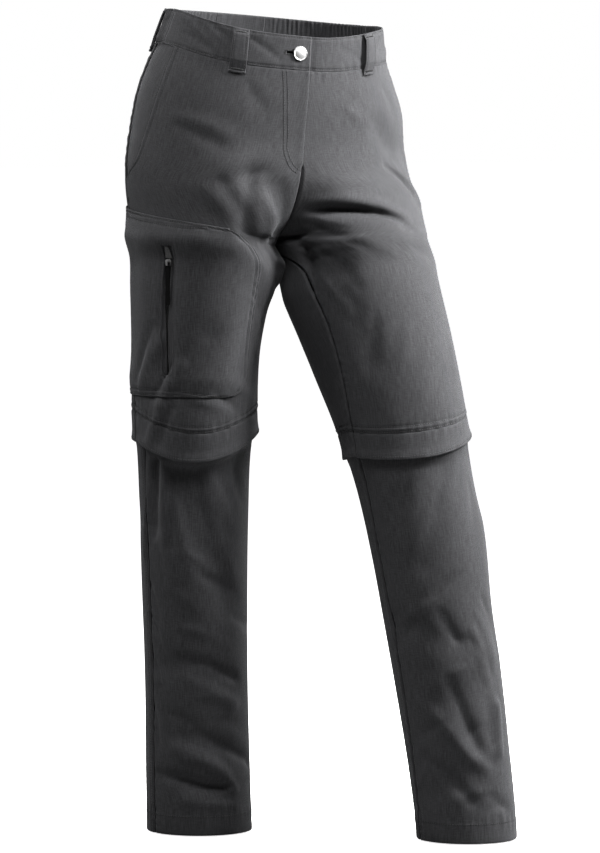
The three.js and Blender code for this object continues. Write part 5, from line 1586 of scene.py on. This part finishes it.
for side in ("right", "left"):
    leg = SHIN[side]
    hem_rows, side_rows = [], []
    for half in ("front", "back"):
        shares = np.r_[np.linspace(0, 0.958, 170), 0.9585, 0.961, np.linspace(0.966, 0.992, 9)]
        turn, down = leg_grid(leg, half, 84, np.r_[shares, 0.995, 0.998, 1], lower_leg_down)
        # Under the flap the lower leg lies on the thigh's form, and it comes out to its own below it
        own, over = stations(leg, turn, down), stations(THIGH[side], turn, down)
        tuck = smooth((down - seam_down(side, turn) - flap_tall(side, turn) + 3) / 15)[..., None]
        grid = dict(
            own,
            p=mix(over["p"] + over["n"] * UNDER, own["p"], tuck),
            n=unit(mix(over["n"], own["n"], tuck)),
        )
        u, v = run_of(grid, 1), run_of(grid, 0)
        foot = v[-1:] - v
        start, end = u, u[:, -1:] - u
        high = 0.3 * smooth((HEM_TALL + 0.6 - foot) / 1.2) - 0.34 * hump(foot, HEM_TALL - 2, 1.1)
        high = high - 0.5 * np.exp(-foot / 0.7) + pucker(u, np.abs(foot - HEM_TALL + 2), 0.34, 12)
        if half == "front":
            high = high + plain_seam(start) + pucker(v, start, 0.34, 11)
            high = high + plain_seam(end) + pucker(v + 4, end, 0.3, 10)
        else:
            high = high + plain_seam(end) + pucker(v, end, 0.34, 11)
            high = high + topstitched(start, *SIDE_ROWS, 0.4) * 0.9 + pucker(v + 4, start, 0.3, 12)
            side_rows += [offset_path(grid, high, off, "start") for off in SIDE_ROWS]
        inner = high - CLOTH - 0.9 * smooth((HEM_TALL + 0.6 - foot) / 1.0) + 0.5 * np.exp(-foot / 0.7)
        node = [f"lower_leg_{half}_{side}"]
        piece = cloth(f"{side}_lower_leg_{half}_cloth", grid, CHARCOAL, high, inner, node)
        declare(grid)
        hem_rows.append(offset_path(grid, high, HEM_TALL - 2, "foot"))
    stitch_row(f"{side}_hem_stitches", hem_rows)
    stitch_row(f"{side}_lower_side_seam_stitches", side_rows)

# ------------------------------------------------------------------------------------- hard small pieces
for name, finish in (("waist_button", steel), ("cargo_zip_slider", steel), ("cargo_zip_pull", pull_black)):
    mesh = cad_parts[name].data
    mesh.materials.clear()
    mesh.materials.append(finish)

# --------------------------------------------------------------------------------- floor, camera and light
FLOOR = -1.005
FOCAL, PICTURE_TALL, SENSOR, CAMERA_OFF = 5600, 853, 36, 7.0
WHITE = grey(1)


def for_camera(tree, other, seen):
    """One shader for what the camera sees and another for the light that comes back."""
    is_camera = socket(tree, "ShaderNodeLightPath").outputs["Is Camera Ray"]
    choice = [(0, is_camera), (1, other.outputs[0]), (2, seen.outputs[0])]
    return socket(tree, "ShaderNodeMixShader", choice).outputs[0]


bpy.ops.object.select_all(action="DESELECT")
bpy.ops.mesh.primitive_plane_add(size=60, location=(0, 0, FLOOR))
floor = bpy.context.active_object
floor.name = "floor"
pale = bpy.data.materials.new("pale floor")
pale.use_nodes = True
floor_tree = pale.node_tree
floor_tree.nodes.clear()
# The floor shines a little, more with the distance, so that it goes over into the white wall
here = socket(floor_tree, "ShaderNodeNewGeometry").outputs["Position"]
far = socket(floor_tree, "ShaderNodeVectorMath", [(0, here)], operation="LENGTH").outputs["Value"]
glow_range = [("Value", far), ("From Min", 1.1), ("From Max", 3.0), ("To Min", 0.86), ("To Max", 1.0)]
paler = socket(floor_tree, "ShaderNodeMapRange", glow_range).outputs["Result"]
glow = socket(floor_tree, "ShaderNodeEmission", [("Color", WHITE), ("Strength", paler)])
matt = socket(floor_tree, "ShaderNodeBsdfDiffuse", [("Color", grey(0.85))])
shining = socket(floor_tree, "ShaderNodeAddShader", [(0, matt.outputs[0]), (1, glow.outputs[0])])
dull = socket(floor_tree, "ShaderNodeBsdfDiffuse", [("Color", grey(0.3))])
surface = socket(floor_tree, "ShaderNodeOutputMaterial").inputs["Surface"]
floor_tree.links.new(for_camera(floor_tree, dull, shining), surface)
floor.data.materials.append(pale)

ahead = np.array([0.43727, 0.89654, -0.0715])
ahead /= np.linalg.norm(ahead)
level_right = np.array([ahead[1], -ahead[0], 0])
level_right /= np.linalg.norm(level_right)
target = np.array([0.027, -0.013, -0.502])
camera_data = bpy.data.cameras.new("camera")
camera = bpy.data.objects.new("camera", camera_data)
bpy.context.scene.collection.objects.link(camera)
camera_data.sensor_fit = "AUTO"
camera_data.sensor_width = SENSOR
camera_data.lens = FOCAL / PICTURE_TALL * SENSOR
camera_data.clip_end = 200
camera.location = (target - ahead * CAMERA_OFF).tolist()


def aim(thing):
    """Turns a camera or a light to the target."""
    from_here = target - np.array(thing.location)
    thing.rotation_mode = "QUATERNION"
    thing.rotation_quaternion = Vector(from_here).to_track_quat("-Z", "Y")


aim(camera)
bpy.context.scene.camera = camera
flat_ahead = np.array([ahead[0], ahead[1], 0]) / np.hypot(ahead[0], ahead[1])


def area_light(name, along_right, along_ahead, up, size, power):
    """A soft light, placed in metres from the target as the camera sees it."""
    data = bpy.data.lights.new(name, "AREA")
    data.shape = "RECTANGLE"
    data.size, data.size_y = size
    data.energy = power
    light = bpy.data.objects.new(name, data)
    bpy.context.scene.collection.objects.link(light)
    place = target + level_right * along_right + flat_ahead * along_ahead + np.array([0, 0, up])
    light.location = place.tolist()
    aim(light)


area_light("window", 1.6, -0.35, 1.35, (0.5, 0.8), 165)
area_light("window return", 1.7, 0.85, 0.9, (0.7, 1.0), 36)
area_light("front fill", 0.1, -1.2, 1.8, (0.7, 0.7), 46)
area_light("left edge", -1.6, -0.05, 1.4, (0.7, 0.8), 38)

world = bpy.data.worlds.new("studio")
bpy.context.scene.world = world
world.use_nodes = True
world_tree = world.node_tree
world_tree.nodes.clear()
seen = socket(world_tree, "ShaderNodeBackground", [("Color", WHITE), ("Strength", 1.0)])
lit = socket(world_tree, "ShaderNodeBackground", [("Color", WHITE), ("Strength", 0.015)])
surface = socket(world_tree, "ShaderNodeOutputWorld").inputs["Surface"]
world_tree.links.new(for_camera(world_tree, lit, seen), surface)
bpy.context.scene.view_settings.view_transform = "Standard"
bpy.context.scene.view_settings.look = "None"
bpy.context.scene.view_settings.gamma = 0.8
